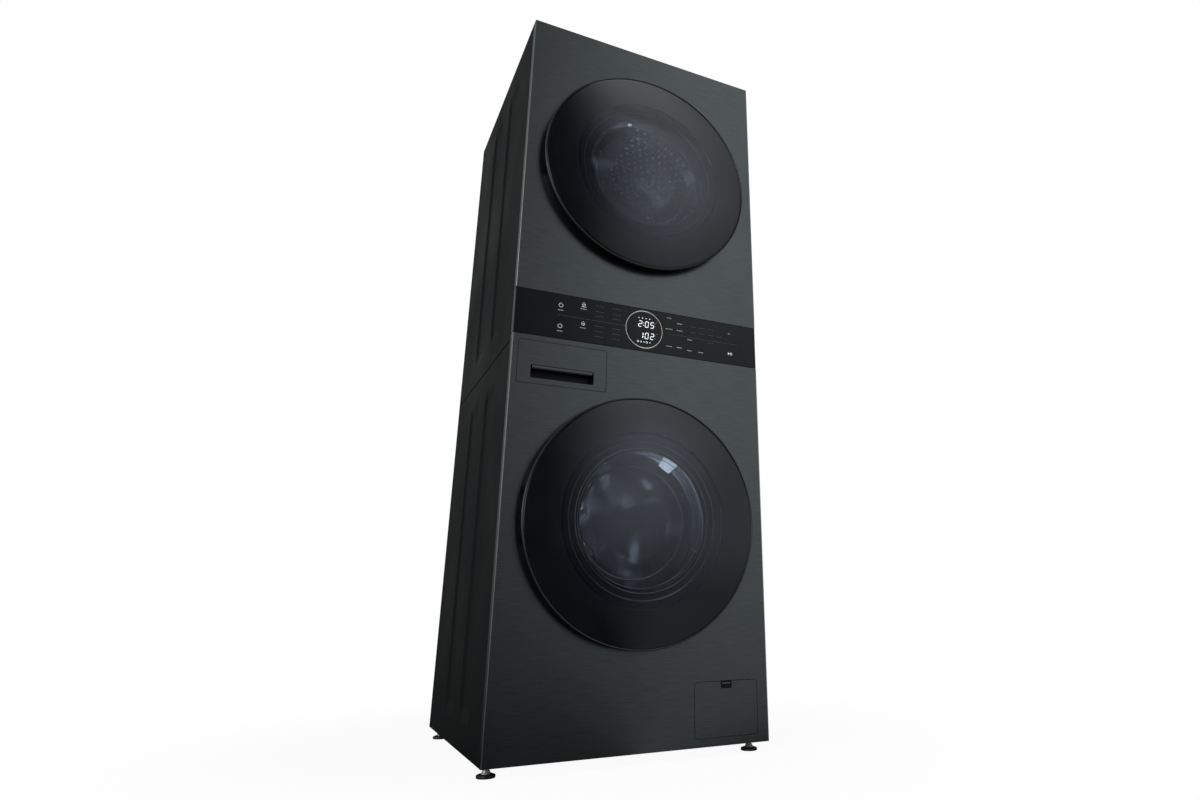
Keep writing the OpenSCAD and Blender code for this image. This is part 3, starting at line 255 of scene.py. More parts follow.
def weld(work, within=1e-7):
    """Merges points that lie within so many metres of each other."""
    bmesh.ops.remove_doubles(work, verts=work.verts, dist=within)


def smooth_by_angle(piece, degrees):
    """Shades a piece smooth, but for edges that bend by more than this."""
    piece.data.shade_smooth()
    piece.data.set_sharp_from_angle(angle=math.radians(degrees))
    return piece


def new_group(name, inputs, outputs):
    """An empty node group; gives its tree, its inputs and its outputs."""
    tree = bpy.data.node_groups.new(name, "ShaderNodeTree")
    for label, default in inputs.items():
        socket = tree.interface.new_socket(label, in_out="INPUT", socket_type="NodeSocketFloat")
        socket.default_value = default
    for label in outputs:
        kind = "NodeSocketVector" if label == "Normal" else "NodeSocketFloat"
        tree.interface.new_socket(label, in_out="OUTPUT", socket_type=kind)
    return tree, tree.nodes.new("NodeGroupInput").outputs, tree.nodes.new("NodeGroupOutput")


def noise(tree, spot, scale, detail=2.0, roughness=0.5):
    return node(tree, "TexNoise", {"Vector": spot, "Scale": scale, "Detail": detail,
                                   "Roughness": roughness}).outputs[0]


def blend(tree, share, a, b):
    """Colour a, going over to colour b with share."""
    a, b = ((*c, 1) if isinstance(c, tuple) else c for c in (a, b))
    return node(tree, "Mix", {"Factor": share, "A": a, "B": b}, data_type="RGBA").outputs["Result"]


# Grain: a soft cloud of tone and fine tooth, stretched along x by Stretch
# where the metal is brushed.
grain, given, made = new_group(
    "surface_grain", {"Scale": 900.0, "Stretch": 1.0, "Depth": 0.2, "Cloud Scale": 6.0},
    ("Tooth", "Cloud", "Normal"))
spot = own_spot(grain)
x, y, z = parts_of(grain, spot)
drawn = node(grain, "CombineXYZ", {0: maths(grain, "DIVIDE", x, given["Stretch"]), 1: y, 2: z})
tooth = noise(grain, drawn.outputs[0], given["Scale"], roughness=0.6)
raised = node(grain, "Bump", {"Distance": 0.0002, "Strength": given["Depth"], "Height": tooth})
feed(grain, made, {"Tooth": tooth, "Cloud": noise(grain, spot, given["Cloud Scale"], 3.0),
                   "Normal": raised.outputs[0]})

# Dust: lies thinly on what faces up and gathers in soft patches.
dust, given, made = new_group("light_dust", {"Amount": 0.2}, ("Mask",))
upward = parts_of(dust, node(dust, "NewGeometry").outputs["Normal"])[2]
lying = times(dust, ramp(dust, upward, 0.3, 1.0),
              ramp(dust, noise(dust, own_spot(dust), 14.0, 4.0), 0.35, 0.7))
feed(dust, made, {"Mask": maths(dust, "MULTIPLY", lying, given["Amount"], clamp=True)})
DUST_COLOUR = (0.32, 0.31, 0.29)


def finish(name, colour, rough, metallic=0.0, vary=0.1, rough_vary=0.06, scale=900.0,
           stretch=1.0, depth=0.2, cloud_scale=6.0, dusty=0.0, specular=0.5, transmission=0.0,
           tooth_tone=0.0):
    """A material whose colour and roughness drift softly over the piece,
    with a fine tooth in its surface and a little dust on top."""
    material, tree, shader = bare_material(name)
    skin = node(tree, "Group", {"Scale": scale, "Stretch": stretch, "Depth": depth,
                                "Cloud Scale": cloud_scale}, node_tree=grain).outputs
    tone = skin["Cloud"]
    if tooth_tone:
        tone = maths(tree, "ADD", times(tree, tone, 1.0 - tooth_tone),
                     times(tree, skin["Tooth"], tooth_tone))
    shade = blend(tree, ramp(tree, tone, 0.3, 0.7, smooth=False),
                  tuple(c * (1 - vary) for c in colour), tuple(c * (1 + vary) for c in colour))
    if dusty:
        film = node(tree, "Group", {"Amount": dusty}, node_tree=dust)
        shade = blend(tree, film.outputs["Mask"], shade, DUST_COLOUR)
    wear = ramp(tree, skin["Cloud"], 0.3, 0.7, max(rough - rough_vary, 0.0),
                min(rough + rough_vary, 1.0))
    feed(tree, shader, {"Base Color": shade, "Roughness": wear, "Normal": skin["Normal"],
                        "Metallic": metallic, "Specular IOR Level": specular,
                        "Transmission Weight": transmission})
    return material


def dress(piece, material, body, slot, *replaced):
    """Gives a piece its material, its body and what it replaces; slot is not used."""
    piece.data.materials.clear()
    piece.data.materials.append(material)
    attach(piece, body)
    if replaced:
        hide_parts(*replaced)


side_paint = finish("charcoal_paint", (0.0043, 0.0063, 0.0068), 0.56, vary=0.08, scale=1400.0,
                    depth=0.10, cloud_scale=3.0, dusty=0.015, specular=0.11)
SIDE_X, SIDE_Y0, SIDE_Y1, SHEET = 300.0, 19.0, 624.0, 1.4
RIB_Y, RIB_W, RIB_PITCH, RIB_DEPTH = 142.0, 108.0, 178.0, 4.0
RIB_END, RIB_CORNER, RIB_SLOPE = 64.0, 16.0, 9.0


def rounded_run(corners, radii, fine=5):
    """A line through corners in a plane, with each inner corner rounded."""
    corners = np.asarray(corners, float)
    run = [corners[:1]]
    for before, corner, after, radius in zip(corners, corners[1:], corners[2:], radii):
        a, b = before - corner, after - corner
        a, b = a / np.linalg.norm(a), b / np.linalg.norm(b)
        half = math.acos(np.clip(a @ b, -1, 1)) / 2
        reach = radius / math.tan(half)
        centre = corner + (a + b) / np.linalg.norm(a + b) * radius / math.sin(half)
        t = np.linspace(0, 1, fine + 1)[:, None]
        arc = (1 - t) * (corner + a * reach - centre) + t * (corner + b * reach - centre)
        run.append(centre + arc / np.linalg.norm(arc, axis=1, keepdims=True) * radius)
    run.append(corners[-1:])
    return np.concatenate(run)


def soft_step(value):
    """Goes from 0 to 1 as value does, with a gentle start and end."""
    value = np.clip(value, 0, 1)
    return value * value * (3 - 2 * value)


def side_wall(name, sign, z0, z1, rib_z0, rib_z1):
    """The plan of the sheet (front fold, side, rear corner) times height;
    each rib pushes the side in by RIB_DEPTH and runs out gently at its ends."""
    plan = rounded_run([(14 - SIDE_X, SIDE_Y0), (-SIDE_X, SIDE_Y0), (-SIDE_X, SIDE_Y1),
                        (8 - SIDE_X, SIDE_Y1)], (1.6, 2.5), 4)
    side = np.linspace(SIDE_Y0 + 4, SIDE_Y1 - 5, 300)
    plan = np.concatenate([plan[plan[:, 1] < SIDE_Y0 + 3],
                           np.stack([np.full(len(side), -SIDE_X), side], 1),
                           plan[plan[:, 1] > SIDE_Y1 - 4]])
    ends = np.add.outer([rib_z0, rib_z1], np.linspace(-70, 70, 41)).ravel()
    height = np.unique(np.concatenate([np.linspace(z0, z1, 40), ends]))
    height = height[(height >= z0) & (height <= z1)]
    y, z = np.meshgrid(plan[:, 1], height, indexing="ij")
    x = np.repeat(plan[:, :1], len(height), 1)
    rib_mid, rib_half = (rib_z0 + rib_z1) / 2, (rib_z1 - rib_z0) / 2
    for i in (0, 1):
        dy = np.abs(y - (RIB_Y + i * RIB_PITCH + RIB_W / 2)) - (RIB_W / 2 - RIB_CORNER)
        dz = (np.abs(z - rib_mid) - (rib_half - RIB_END)) * RIB_CORNER / RIB_END
        away = np.hypot(np.maximum(dy, 0), np.maximum(dz, 0)) + np.minimum(np.maximum(dy, dz), 0)
        pressed = RIB_DEPTH * soft_step((RIB_CORNER - away) / RIB_SLOPE)
        x = np.where(x < 0.1 - SIDE_X, x + pressed, x)
    piece = mesh_piece(name, placed(-sign * x, y, z), grid_faces(*x.shape))
    if sign < 0:
        piece.data.flip_normals()
    solid = piece.modifiers.new("sheet", "SOLIDIFY")
    solid.thickness, solid.offset = SHEET / 1000, -1
    return smooth_by_angle(piece, 40)


def cad_copy(node_name, name, keep=()):
    """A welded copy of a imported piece, which keep may cut back to slabs:
    each is (axis, lowest, highest) in metres."""
    def weld_and_cut(work):
        weld(work, 1e-5)
        for axis, low, high in keep:
            for place, side in ((low, -1), (high, 1)):
                at, normal = Vector((0, 0, 0)), Vector((0, 0, 0))
                at[axis], normal[axis] = place, side
                cut = bmesh.ops.bisect_plane(
                    work, geom=work.verts[:] + work.edges[:] + work.faces[:], plane_co=at,
                    plane_no=normal, clear_outer=True)
                rim = [e for e in cut["geom_cut"] if isinstance(e, bmesh.types.BMEdge)]
                if rim:
                    bmesh.ops.holes_fill(work, edges=rim, sides=0)

    mesh = nodes[node_name].data.copy()
    mesh.name = name
    reworked(mesh, weld_and_cut)
    return new_object(name, mesh)


def softened(node_name, name, width, keep=(), bold=None, segments=2):
    """A welded copy with its edges rounded off by width metres; bold gives
    each edge its share of that, from its middle and its run."""
    piece = cad_copy(node_name, name, keep)
    mesh = piece.data
    mesh.shade_flat()
    bevel = piece.modifiers.new("soft_edges", "BEVEL")
    bevel.width, bevel.segments = width, segments
    bevel.limit_method, bevel.angle_limit = "ANGLE", math.radians(30)
    if bold:
        ends = np.zeros(len(mesh.edges) * 2, int)
        mesh.edges.foreach_get("vertices", ends)
        corner = np.zeros(len(mesh.vertices) * 3)
        mesh.vertices.foreach_get("co", corner)
        corner = corner.reshape(-1, 3)[ends.reshape(-1, 2)]
        weight = bold(corner.mean(1), corner[:, 1] - corner[:, 0])
        layer = mesh.attributes.new("bevel_weight_edge", "FLOAT", "EDGE")
        layer.data.foreach_set("value", weight.astype(np.float32))
        bevel.limit_method = "WEIGHT"
    return piece


for sign, hand in ((-1, "left"), (1, "right")):
    for which, ribs in (("lower", (50.0, 765.0)), ("upper", (870.0, 1593.0))):
        span = [(corner.z - UNDER) * 1000 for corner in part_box(f"{which}_cabinet")]
        dress(side_wall(f"{which}_side_{hand}", sign, *span, *ribs), side_paint, "tower",
              "side_paint", f"{which}_cabinet")
REAR_SLAB = ((0, -0.2915, 0.2915), (1, 0.31, 0.34))
for which in ("lower", "upper"):
    dress(softened(f"{which}_cabinet", f"{which}_rear_wall", 0.0004, REAR_SLAB, segments=1),
          side_paint, "tower", "side_paint", f"{which}_cabinet")
dress(softened("top_cover", "lid", 0.0007), side_paint, "tower", "side_paint", "top_cover")
inner_steel = finish("galvanised_sheet", (0.36, 0.37, 0.38), 0.42, metallic=0.85, vary=0.16,
                     scale=500.0, cloud_scale=60.0, depth=0.05, dusty=0.25)
for which in ("lower", "upper"):
    dress(softened(f"{which}_rear_cover", f"{which}_rear_sheet", 0.0007), inner_steel, "tower",
          "inner_steel", f"{which}_rear_cover")


# -------------------------------------- front panels
# Two sheets of dark stainless steel, brushed from side to side and folded
# back along both sides, where the bend is painted paler as a highlight; a
# round mouth behind each door, whose wall is painted black as shade.
front_steel = finish("dark_brushed_steel", (0.110, 0.1255, 0.129), 0.34, metallic=1.0, vary=0.17,
                     rough_vary=0.03, scale=700.0, stretch=32.0, depth=0.16, cloud_scale=2.5,
                     tooth_tone=0.8)
# Painted highlight: the upright folds of the front get this paler colour in place of the light they
# catch.
BEND_HIGHLIGHT_COLOUR = (0.42, 0.44, 0.45)


def colour_so_far(shader):
    """The output that feeds the shader's colour by now."""
    return shader.inputs["Base Color"].links[0].from_socket


tree = front_steel.node_tree
shader = tree.nodes["Principled BSDF"]
x, y, z = parts_of(tree, own_spot(tree))
# Mask of the upright folds, where the painted highlight goes.
bend_highlight = times(tree, ramp(tree, maths(tree, "ABSOLUTE", x), HALF_W - 0.0018, HALF_W - 0.0013),
             ramp(tree, y, FRONT + 0.0015, FRONT + 0.0009))
feed(tree, shader, {"Base Color": blend(tree, bend_highlight, colour_so_far(shader), BEND_HIGHLIGHT_COLOUR)})
# A black finish used as painted shade on walls that lie behind the front face.
painted_shade_black = finish("painted_shade_plastic", (0.0035, 0.004, 0.0042), 0.45, vary=0.08, scale=1200.0,
                    depth=0.08, specular=0.2)


def fold_rounding(on_face_share, other_share):
    """Full rounding on the upright folds of the front, and a share of it on
    the other edges of the front face and on all the rest."""
    def share(middle, run):
        upright = (np.abs(run[:, 2]) > 0.02) & (np.abs(middle[:, 0]) > HALF_W - 0.0001)
        on_face = middle[:, 1] < FRONT + 0.0001
        return np.where(upright & on_face, 1.0, np.where(on_face, on_face_share, other_share))
    return share


def paint_shade_behind(piece, depth, half_width=HALF_W):
    """Paints shade: makes the faces black that lie more than depth metres
    behind the front face and less than half_width from the middle, as if
    these recessed walls were in shadow."""
    piece.data.materials.append(painted_shade_black)
    middle = np.array([p.center for p in piece.data.polygons])
    inside = (middle[:, 1] > FRONT + depth) & (np.abs(middle[:, 0]) < half_width)
    piece.data.polygons.foreach_set("material_index", inside.astype(int))


BEND_R = 0.0026
for name in ("washer_front_panel", "dryer_front_panel"):
    panel = softened(name, name.replace("_panel", "_sheet"), BEND_R,
                     bold=fold_rounding(0.18, 0.05), segments=4)
    dress(panel, front_steel, "tower", "front_steel", name)
    # Painted shade: the mouth walls and cut edges behind the front face turn black.
    paint_shade_behind(panel, 0.0006, HALF_W - 0.004)


# ------------------------------------- control strip
# A strip of black glass-like plastic runs across the front.  A round
# display with a bright ring sits in its middle; touch keys are printed on
# both sides of it and show faintly from behind.
strip_black = finish("strip_gloss", (0.0020, 0.0030, 0.0034), 0.20, vary=0.05, rough_vary=0.03,
                     depth=0.01, scale=500.0, dusty=0.02, specular=0.24)
strip = softened("control_fascia", "strip", 0.002, bold=fold_rounding(0.3, 0.3), segments=4)
dress(strip, strip_black, "tower", "strip_black", "control_fascia")
DISPLAY_Z = (sum(corner.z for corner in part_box("control_fascia")) / 2 - UNDER) * 1000 + 1.2
PRINT_LIFT = 0.12


def printed(name, shapes, material):
    """Flat printed shapes on the front face: each is a closed outline in
    millimetres (x, height); all are filled and set PRINT_LIFT in front."""
    corners, faces, first = [], [], 0
    for outline in shapes:
        outline = np.asarray(outline, float)
        corners.append(placed(outline[:, 0], -PRINT_LIFT, outline[:, 1]))
        faces.append(list(range(first, first + len(outline))))
        first += len(outline)
    piece = mesh_piece(name, np.concatenate(corners), faces, smooth=False)
    for face in piece.data.polygons:
        if face.normal.y > 0:
            face.flip()
    dress(piece, material, "tower", "strip_black")


def lit_print(name, colour, strength, rough=0.4):
    """Print that a lamp behind it lights a little; the light varies softly."""
    material = finish(name, colour, rough, vary=0.15, cloud_scale=60.0, depth=0.01)
    tree = material.node_tree
    flicker = ramp(tree, noise(tree, own_spot(tree), 120.0), 0.3, 0.7)
    feed(tree, tree.nodes["Principled BSDF"], {
        "Emission Color": blend(tree, flicker, tuple(c * 0.85 for c in colour), colour),
        "Emission Strength": strength})
    return material


def turned(name, height, profile, steps=180):
    """A closed profile of (radius, depth) points, turned about an axis that
    runs from front to back at that height."""
    radius, depth = np.asarray(profile, float).T
    turn = np.linspace(0, 2 * np.pi, steps, endpoint=False)[:, None]
    piece = mesh_piece(name, placed(np.cos(turn) * radius, np.ones_like(turn) * depth,
                                    height + np.sin(turn) * radius),
                       grid_faces(steps, len(radius), ring_rows=True, ring_columns=True))
    reworked(piece.data, weld)
    return piece


def bar(x, z, width, height):
    """The outline of a rectangle whose middle is at x, z."""
    return [(x + a * width / 2, z + b * height / 2) for a, b in
            ((-1, -1), (1, -1), (1, 1), (-1, 1))]


def arc_band(x, z, radius, width, start=0.0, end=360.0, fine=20):
    """Four-sided pieces of a ring from start to end degrees, clockwise
    from the top."""
    t = np.radians(np.linspace(start, end, fine + 1))
    inner, outer = (np.stack([x + r * np.sin(t), z + r * np.cos(t)], 1)
                    for r in (radius - width / 2, radius + width / 2))
    return [[inner[i], inner[i + 1], outer[i + 1], outer[i]] for i in range(fine)]


def label(x, z, width, letters, height=2.0):
    """A row of small marks in place of a printed word, every third taller."""
    step = width / letters
    return [bar(x - width / 2 + (i + 0.42) * step, z, step * 0.62,
                height * (1.0 if i % 3 == 0 else 0.72)) for i in range(letters)]


SEGMENTS = {0: "abcdef", 1: "bc", 2: "abged", 5: "afgcd"}


def digit(value, x, z, wide=7.6, high=14.0, thick=1.35):
    """A seven-segment digit whose middle is at x, z, leaning right."""
    w, h, t = wide / 2, high / 2, thick
    marks = {"a": bar(0, h, wide - t, t), "g": bar(0, 0, wide - t, t), "d": bar(0, -h, wide - t, t),
             "b": bar(w, h / 2, t, h - t), "c": bar(w, -h / 2, t, h - t),
             "f": bar(-w, h / 2, t, h - t), "e": bar(-w, -h / 2, t, h - t)}
    return [[(x + px + pz * 0.10, z + pz) for px, pz in marks[s]] for s in SEGMENTS[value]]


ring_metal = finish("ring_silver", (0.56, 0.58, 0.60), 0.22, metallic=1.0, vary=0.12,
                    cloud_scale=40.0, depth=0.02)
ring = turned("display_ring", DISPLAY_Z, [(44.2, 0.1), (44.2, -0.55), (44.8, -0.75), (46.0, -0.75),
                                          (46.6, -0.55), (46.6, 0.1)], 128)
dress(smooth_by_angle(ring, 50), ring_metal, "tower", "strip_black")
digits = []
for row, values in ((DISPLAY_Z + 13.6, (2, 0, 5)), (DISPLAY_Z - 14.6, (1, 0, 2))):
    for value, x in zip(values, (-9.5, 7.0, 20.5)):
        digits += digit(value, x + (3.0 if value == 1 else 0.0), row)
    digits += [bar(-1.0, row + 3.0, 1.5, 1.5), bar(-1.6, row - 3.0, 1.5, 1.5)]
printed("display_digits", digits, lit_print("display_light", (0.80, 0.87, 0.93), 0.9))
top_row, low_row = DISPLAY_Z + 28.0, DISPLAY_Z - 30.5
small = [bar(x, top_row, 2.6, 2.2) for x in (-13, -4, 5, 14)]
for x in (-14.5, 7.5):
    small += arc_band(x, low_row, 2.0, 1.0, fine=12)
small += [bar(-7, low_row, 2.2, 3.6), bar(0.5, low_row, 3.6, 1.6), bar(15.0, low_row, 2.4, 2.4)]
small += [bar(27.5, DISPLAY_Z + z, 1.0, 1.0) for z in (18, 12, -12, -18)]
printed("display_marks", small, lit_print("display_light_soft", (0.62, 0.69, 0.75), 0.5))
warm = [bar(x, z + DISPLAY_Z, 2.0, 1.1) for x, z in ((31.5, 22), (33.0, -7))]
printed("display_warm_marks", warm, lit_print("display_warm", (0.5, 0.06, 0.05), 0.5))
POWER_X, LOCK_X, START_X, START_Z = -199, -146.5, 221.5, 858.0
keys = []
for z in (909.5, 860.5):
    keys += arc_band(POWER_X, z, 4.6, 0.9, 35, 325, 24) + [bar(POWER_X, z + 3.91, 0.9, 4.37)]
for z in (920.6, 874.4):
    keys += arc_band(LOCK_X, z, 3.6, 1.0, 50, 310, 16)
    keys += [bar(LOCK_X, z, 2.0, 2.0), bar(LOCK_X, z + 4.2, 3.0, 1.0)]
keys += [bar(LOCK_X, 914.6, 10.0, 1.2),
         [(START_X, START_Z - 3.5), (START_X, START_Z + 3.5), (START_X + 6.0, START_Z)],
         bar(START_X + 7.9, START_Z, 1.5, 7.0), bar(START_X + 10.7, START_Z, 1.5, 7.0)]
printed("key_signs", keys, lit_print("key_light", (0.48, 0.53, 0.56), 0.42))
words = []
for x, z, wide, letters in (
        (POWER_X, 897.6, 13, 5), (POWER_X, 848.4, 13, 5), (LOCK_X, 909.3, 15, 6),
        (LOCK_X, 864.0, 15, 6), (64, 923.8, 12, 5), (64, 896.0, 18, 7), (91.5, 913.3, 14, 5),
        (91.5, 896.0, 15, 6), (117.7, 877.2, 12, 5), (64.5, 853.0, 15, 6), (91, 853.2, 14, 6),
        (117.5, 849.8, 12, 5), (147.5, 849.2, 13, 5), (226, 909.8, 6, 2)):
    words += label(x, z, wide, letters)
printed("key_words", words, lit_print("key_words_light", (0.34, 0.38, 0.41), 0.22))
faint = []
for wide, letters, columns, rows in (
        (19, 7, (-108.5, -68.0), (922.5, 909.0, 897.5, 873.5, 861.0, 849.0)),
        (15, 5, (126.5, 150.6, 175.0), (911.5, 897.0)), (15, 5, (175.0,), (877.5,)),
        (15, 5, (199.5,), (897.0,))):
    for x in columns:
        for z in rows:
            faint += label(x, z, wide, letters, 1.8)
printed("faint_words", faint, lit_print("unlit_print", (0.045, 0.052, 0.06), 0.05))
printed("dividing_line", [bar(-126, 886.0, 158, 0.5), bar(154, 883.5, 186, 0.5)],
        lit_print("line_print", (0.06, 0.066, 0.07), 0.05))


# ------------------------------ drawer and pump flap
# Both fronts are cut from the same brushed sheet.  The drawer has a deep
# slot for the fingers, whose upper edge is a paler moulded lip; the flap
# over the drain filter has a small notch at the top.
lip_plastic = finish("slot_lip", (0.042, 0.045, 0.047), 0.42, vary=0.06, depth=0.05)
for name, face, body, width, shade_from in (
        ("drawer_front", "drawer_face", "detergent_drawer", 0.0006, 0.0008),
        ("pump_flap", "flap_face", "pump_flap", 0.0007, 0.0015)):
    sheet = softened(name, face, width, bold=fold_rounding(1.0, 0.4))
    dress(sheet, front_steel, body, "front_steel", name)
    # Painted shade: the finger slot, the notch and the edges behind the front face turn black.
    paint_shade_behind(sheet, shade_from)
SLOT_LEFT, SLOT_RIGHT, SLOT_TOP = -257.5, -117.5, 764.25


def rail(name, x0, x1, corners, radii, fine, body):
    """A bar of lip plastic from x0 to x1 whose section runs through corners
    of (depth, height), rounded by radii."""
    x, section = np.linspace(x0, x1, 24), rounded_run(corners, radii, fine)
    piece = mesh_piece(name, placed(x[:, None], section[:, 0], section[:, 1]),
                       grid_faces(len(x), len(section), ring_columns=True))
    reworked(piece.data, lambda work: bmesh.ops.holes_fill(work, edges=work.edges))
    dress(smooth_by_angle(piece, 40), lip_plastic, body, "front_steel")


rail("slot_lip", SLOT_LEFT + 4.0, SLOT_RIGHT - 2.5,
     [(19.6, SLOT_TOP - 0.3), (1.0, SLOT_TOP - 0.3), (1.0, SLOT_TOP - 6.5), (6.5, SLOT_TOP - 7.6),
      (19.6, SLOT_TOP - 3.0)], (1.4, 1.6, 2.2), 5, "detergent_drawer")
low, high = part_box("pump_flap")
notch_x, notch_z = 500 * (low.x + high.x), (high.z - UNDER) * 1000
rail("flap_catch", notch_x - 9.0, notch_x + 10.0,
     [(1.9, notch_z - 2.6), (0.5, notch_z - 2.8), (0.5, notch_z - 5.4), (1.9, notch_z - 5.8),
      (1.9, notch_z - 4.0)], (0.4, 0.5, 0.3), 4, "pump_flap")


# --------------------------------------------- doors
# Each round door is a black plastic ring with a domed pane of dark tinted
# glass bonded into it.  A black print behind the pane fades into a clear
# window, in which the pressed glass bowl of the door stands.
door_plastic = finish("door_ring_black", (0.0105, 0.011, 0.012), 0.34, vary=0.06, scale=1100.0,
                      depth=0.05, dusty=0.05)
DOOR_HEIGHTS = {"washer": 450.0, "dryer": 1294.0}
WASHER_Z, DRYER_Z = DOOR_HEIGHTS.values()
DOOR_R, RIM, CROWN, GLASS_T = 262.0, 24.0, 6.0, 4.0
GLASS_R, CLEAR_R = DOOR_R - 3.5, 184.0


def pane_line(radius, behind=0.0):
    """Points of (radius, depth) so far behind the domed front of the pane."""
    return np.stack([radius, behind - RIM - CROWN * (1 - (radius / GLASS_R) ** 2)], 1)


def window_profile():
    """The see-through middle of the pane: front, edge and back."""
    r = np.linspace(0, CLEAR_R, 34)
    return np.concatenate([pane_line(r), pane_line(r[::-1], GLASS_T)])


def border_profile():
    """The printed border of the pane, with its rounded outer edge."""
    r = np.linspace(CLEAR_R + 0.02, GLASS_R - 2.2, 18)
    edge = np.radians(np.linspace(72, -90, 9))
    lip = np.stack([GLASS_R - 2.05 + 2.0 * np.cos(edge), 1.95 - RIM - 2.0 * np.sin(edge)], 1)
    return np.concatenate([pane_line(r), lip, pane_line(r[::-1], GLASS_T)])


def print_profile():
    """The thin layer of print behind the pane, round the window."""
    r = np.linspace(150.0, 190.0, 20)
    return np.concatenate([pane_line(r, GLASS_T + 0.15), pane_line(r[::-1], GLASS_T + 0.35)])


def off_axis(tree, height):
    """Sideways and upward distance from a door's axis, in metres."""
    spot = vector_step(tree, "SUBTRACT", own_spot(tree), tuple(placed(0, 0, height)))
    return vector_step(tree, "MULTIPLY", spot, (1, 0, 1))


def from_axis(tree, height):
    """Distance from a door's axis, in metres."""
    return vector_step(tree, "LENGTH", off_axis(tree, height))


def domed(tree, height):
    """Normal of a pane that mirrors like a fuller dome than its own, most
    of all from top to bottom."""
    x, y, z = parts_of(tree, off_axis(tree, height))
    drop = maths(tree, "ADD", times(tree, x, x, -0.062), times(tree, z, z, -0.383))
    return node(tree, "Bump", {"Distance": 1.0, "Height": drop}).outputs["Normal"]


def tinted_pane(name, height):
    """Dark tinted glass, hardly rough where it has been wiped."""
    material, tree, shader = bare_material(name)
    spot = own_spot(tree)
    tint = blend(tree, ramp(tree, noise(tree, spot, 3.0), 0.3, 0.7), (0.34, 0.37, 0.42),
                 (0.37, 0.40, 0.45))
    wiped = ramp(tree, noise(tree, spot, 9.0, 5.0), 0.35, 0.75, 0.0, 0.02)
    feed(tree, shader, {"Base Color": tint, "Roughness": wiped, "Normal": domed(tree, height),
                        "Transmission Weight": 1.0, "IOR": 1.5,
                        "Specular Tint": (0.76, 0.83, 0.92, 1)})
    return material


tinted = tinted_pane("tinted_glass", WASHER_Z)


def fading_print(name, height, clear_r, solid_r):
    """Black print whose cover grows from clear_r to solid_r millimetres
    from the door's axis, with a faint dark blue cast in the fade."""
    material, tree, shader = bare_material(name)
    away = from_axis(tree, height)
    cover = ramp(tree, away, clear_r / 1000, solid_r / 1000)
    shade = blend(tree, ramp(tree, away, clear_r / 1000, (solid_r + 25) / 1000),
                  (0.0145, 0.0172, 0.0245), (0.0125, 0.0148, 0.0185))
    feed(tree, shader, {"Base Color": shade, "Alpha": cover, "Roughness": 0.6,
                        "Specular IOR Level": 0.0})
    return material


def printed_border(name, height):
    """Glass over black print, as one dark mirror: near the window the print
    has a faint blue cast, which is gone further out."""
    material = finish(name, (0.0044, 0.0050, 0.0054), 0.03, vary=0.2, rough_vary=0.015, depth=0.0,
                      cloud_scale=9.0, specular=0.57)
    tree = material.node_tree
    shader = tree.nodes["Principled BSDF"]
    out = ramp(tree, from_axis(tree, height), CLEAR_R / 1000, 0.235)
    feed(tree, shader, {
        "Base Color": blend(tree, out, (0.0050, 0.0059, 0.0082), colour_so_far(shader)),
        "Specular Tint": (0.84, 0.905, 1.0, 1), "Normal": domed(tree, height)})
    return material


for which, height in DOOR_HEIGHTS.items():
    body, pane = f"{which}_door", f"{which}_door_glass"
    ring = cad_copy(f"{which}_door_frame", f"{which}_door_ring")
    dress(smooth_by_angle(ring, 30), door_plastic, body, "door_black", f"{which}_door_frame")
    window = turned(f"{which}_window", height, window_profile())
    dress(smooth_by_angle(window, 60), tinted_pane(f"{which}_tinted_glass", height), body,
          "door_glass", pane)
    window.visible_shadow = False
    border = turned(f"{which}_border", height, border_profile())
    dress(smooth_by_angle(border, 60), printed_border(f"{which}_border_print", height), body,
          "door_glass", pane)
    layer = turned(f"{which}_pane_print", height, print_profile())
    dress(layer, fading_print(f"{which}_print", height, 160.0, 182.0), body, "door_black")

# The pressed glass bowls, with frosted beads where they catch the light.
bowl_glass = finish("pressed_glass", (0.93, 0.96, 0.99), 0.02, vary=0.02, rough_vary=0.015,
                    depth=0.0, transmission=1.0)
bead_frost = finish("frosted_bead", (0.17, 0.19, 0.21), 0.25, vary=0.8, depth=0.0,
                    cloud_scale=11.0)
for which, outer, inner, beads in (
        ("washer", [(149, 8), (128, 58), (100, 89), (0, 94)],
         [(0, 89), (97, 84), (122, 54), (144, 4)],
         ((166.0, -14.2, 1.6), (151.0, -13.2, 0.8), (141.0, 3.0, 0.9), (121.5, 51.0, 1.0))),
        ("dryer", [(147, 10), (126, 31), (90, 37), (0, 37)],
         [(0, 32.5), (88, 32), (122, 26), (142, 8)],
         ((166.0, -14.2, 1.2), (141.0, 6.0, 0.7), (121.0, 22.5, 0.8)))):
    outside = rounded_run([(168, -8), (150.5, -8)] + outer, (1.0, 3.0, 22.0, 16.0), 10)
    inside = rounded_run(inner + [(146, -12), (168, -12)], (16.0, 22.0, 3.0, 1.0), 10)
    bowl = turned(f"{which}_bowl", DOOR_HEIGHTS[which], np.concatenate([outside, inside]))
    dress(smooth_by_angle(bowl, 50), bowl_glass, f"{which}_door", "bowl_glass",
          f"{which}_door_bowl")
    ring = np.radians(np.arange(0, 360, 45))
    for number, (radius, depth, thick) in enumerate(beads):
        bead = turned(f"{which}_bowl_bead_{number}", DOOR_HEIGHTS[which], np.stack(
            [radius + thick * np.cos(ring), depth + thick * np.sin(ring)], 1))
        dress(bead, bead_frost, f"{which}_door", "bowl_glass")


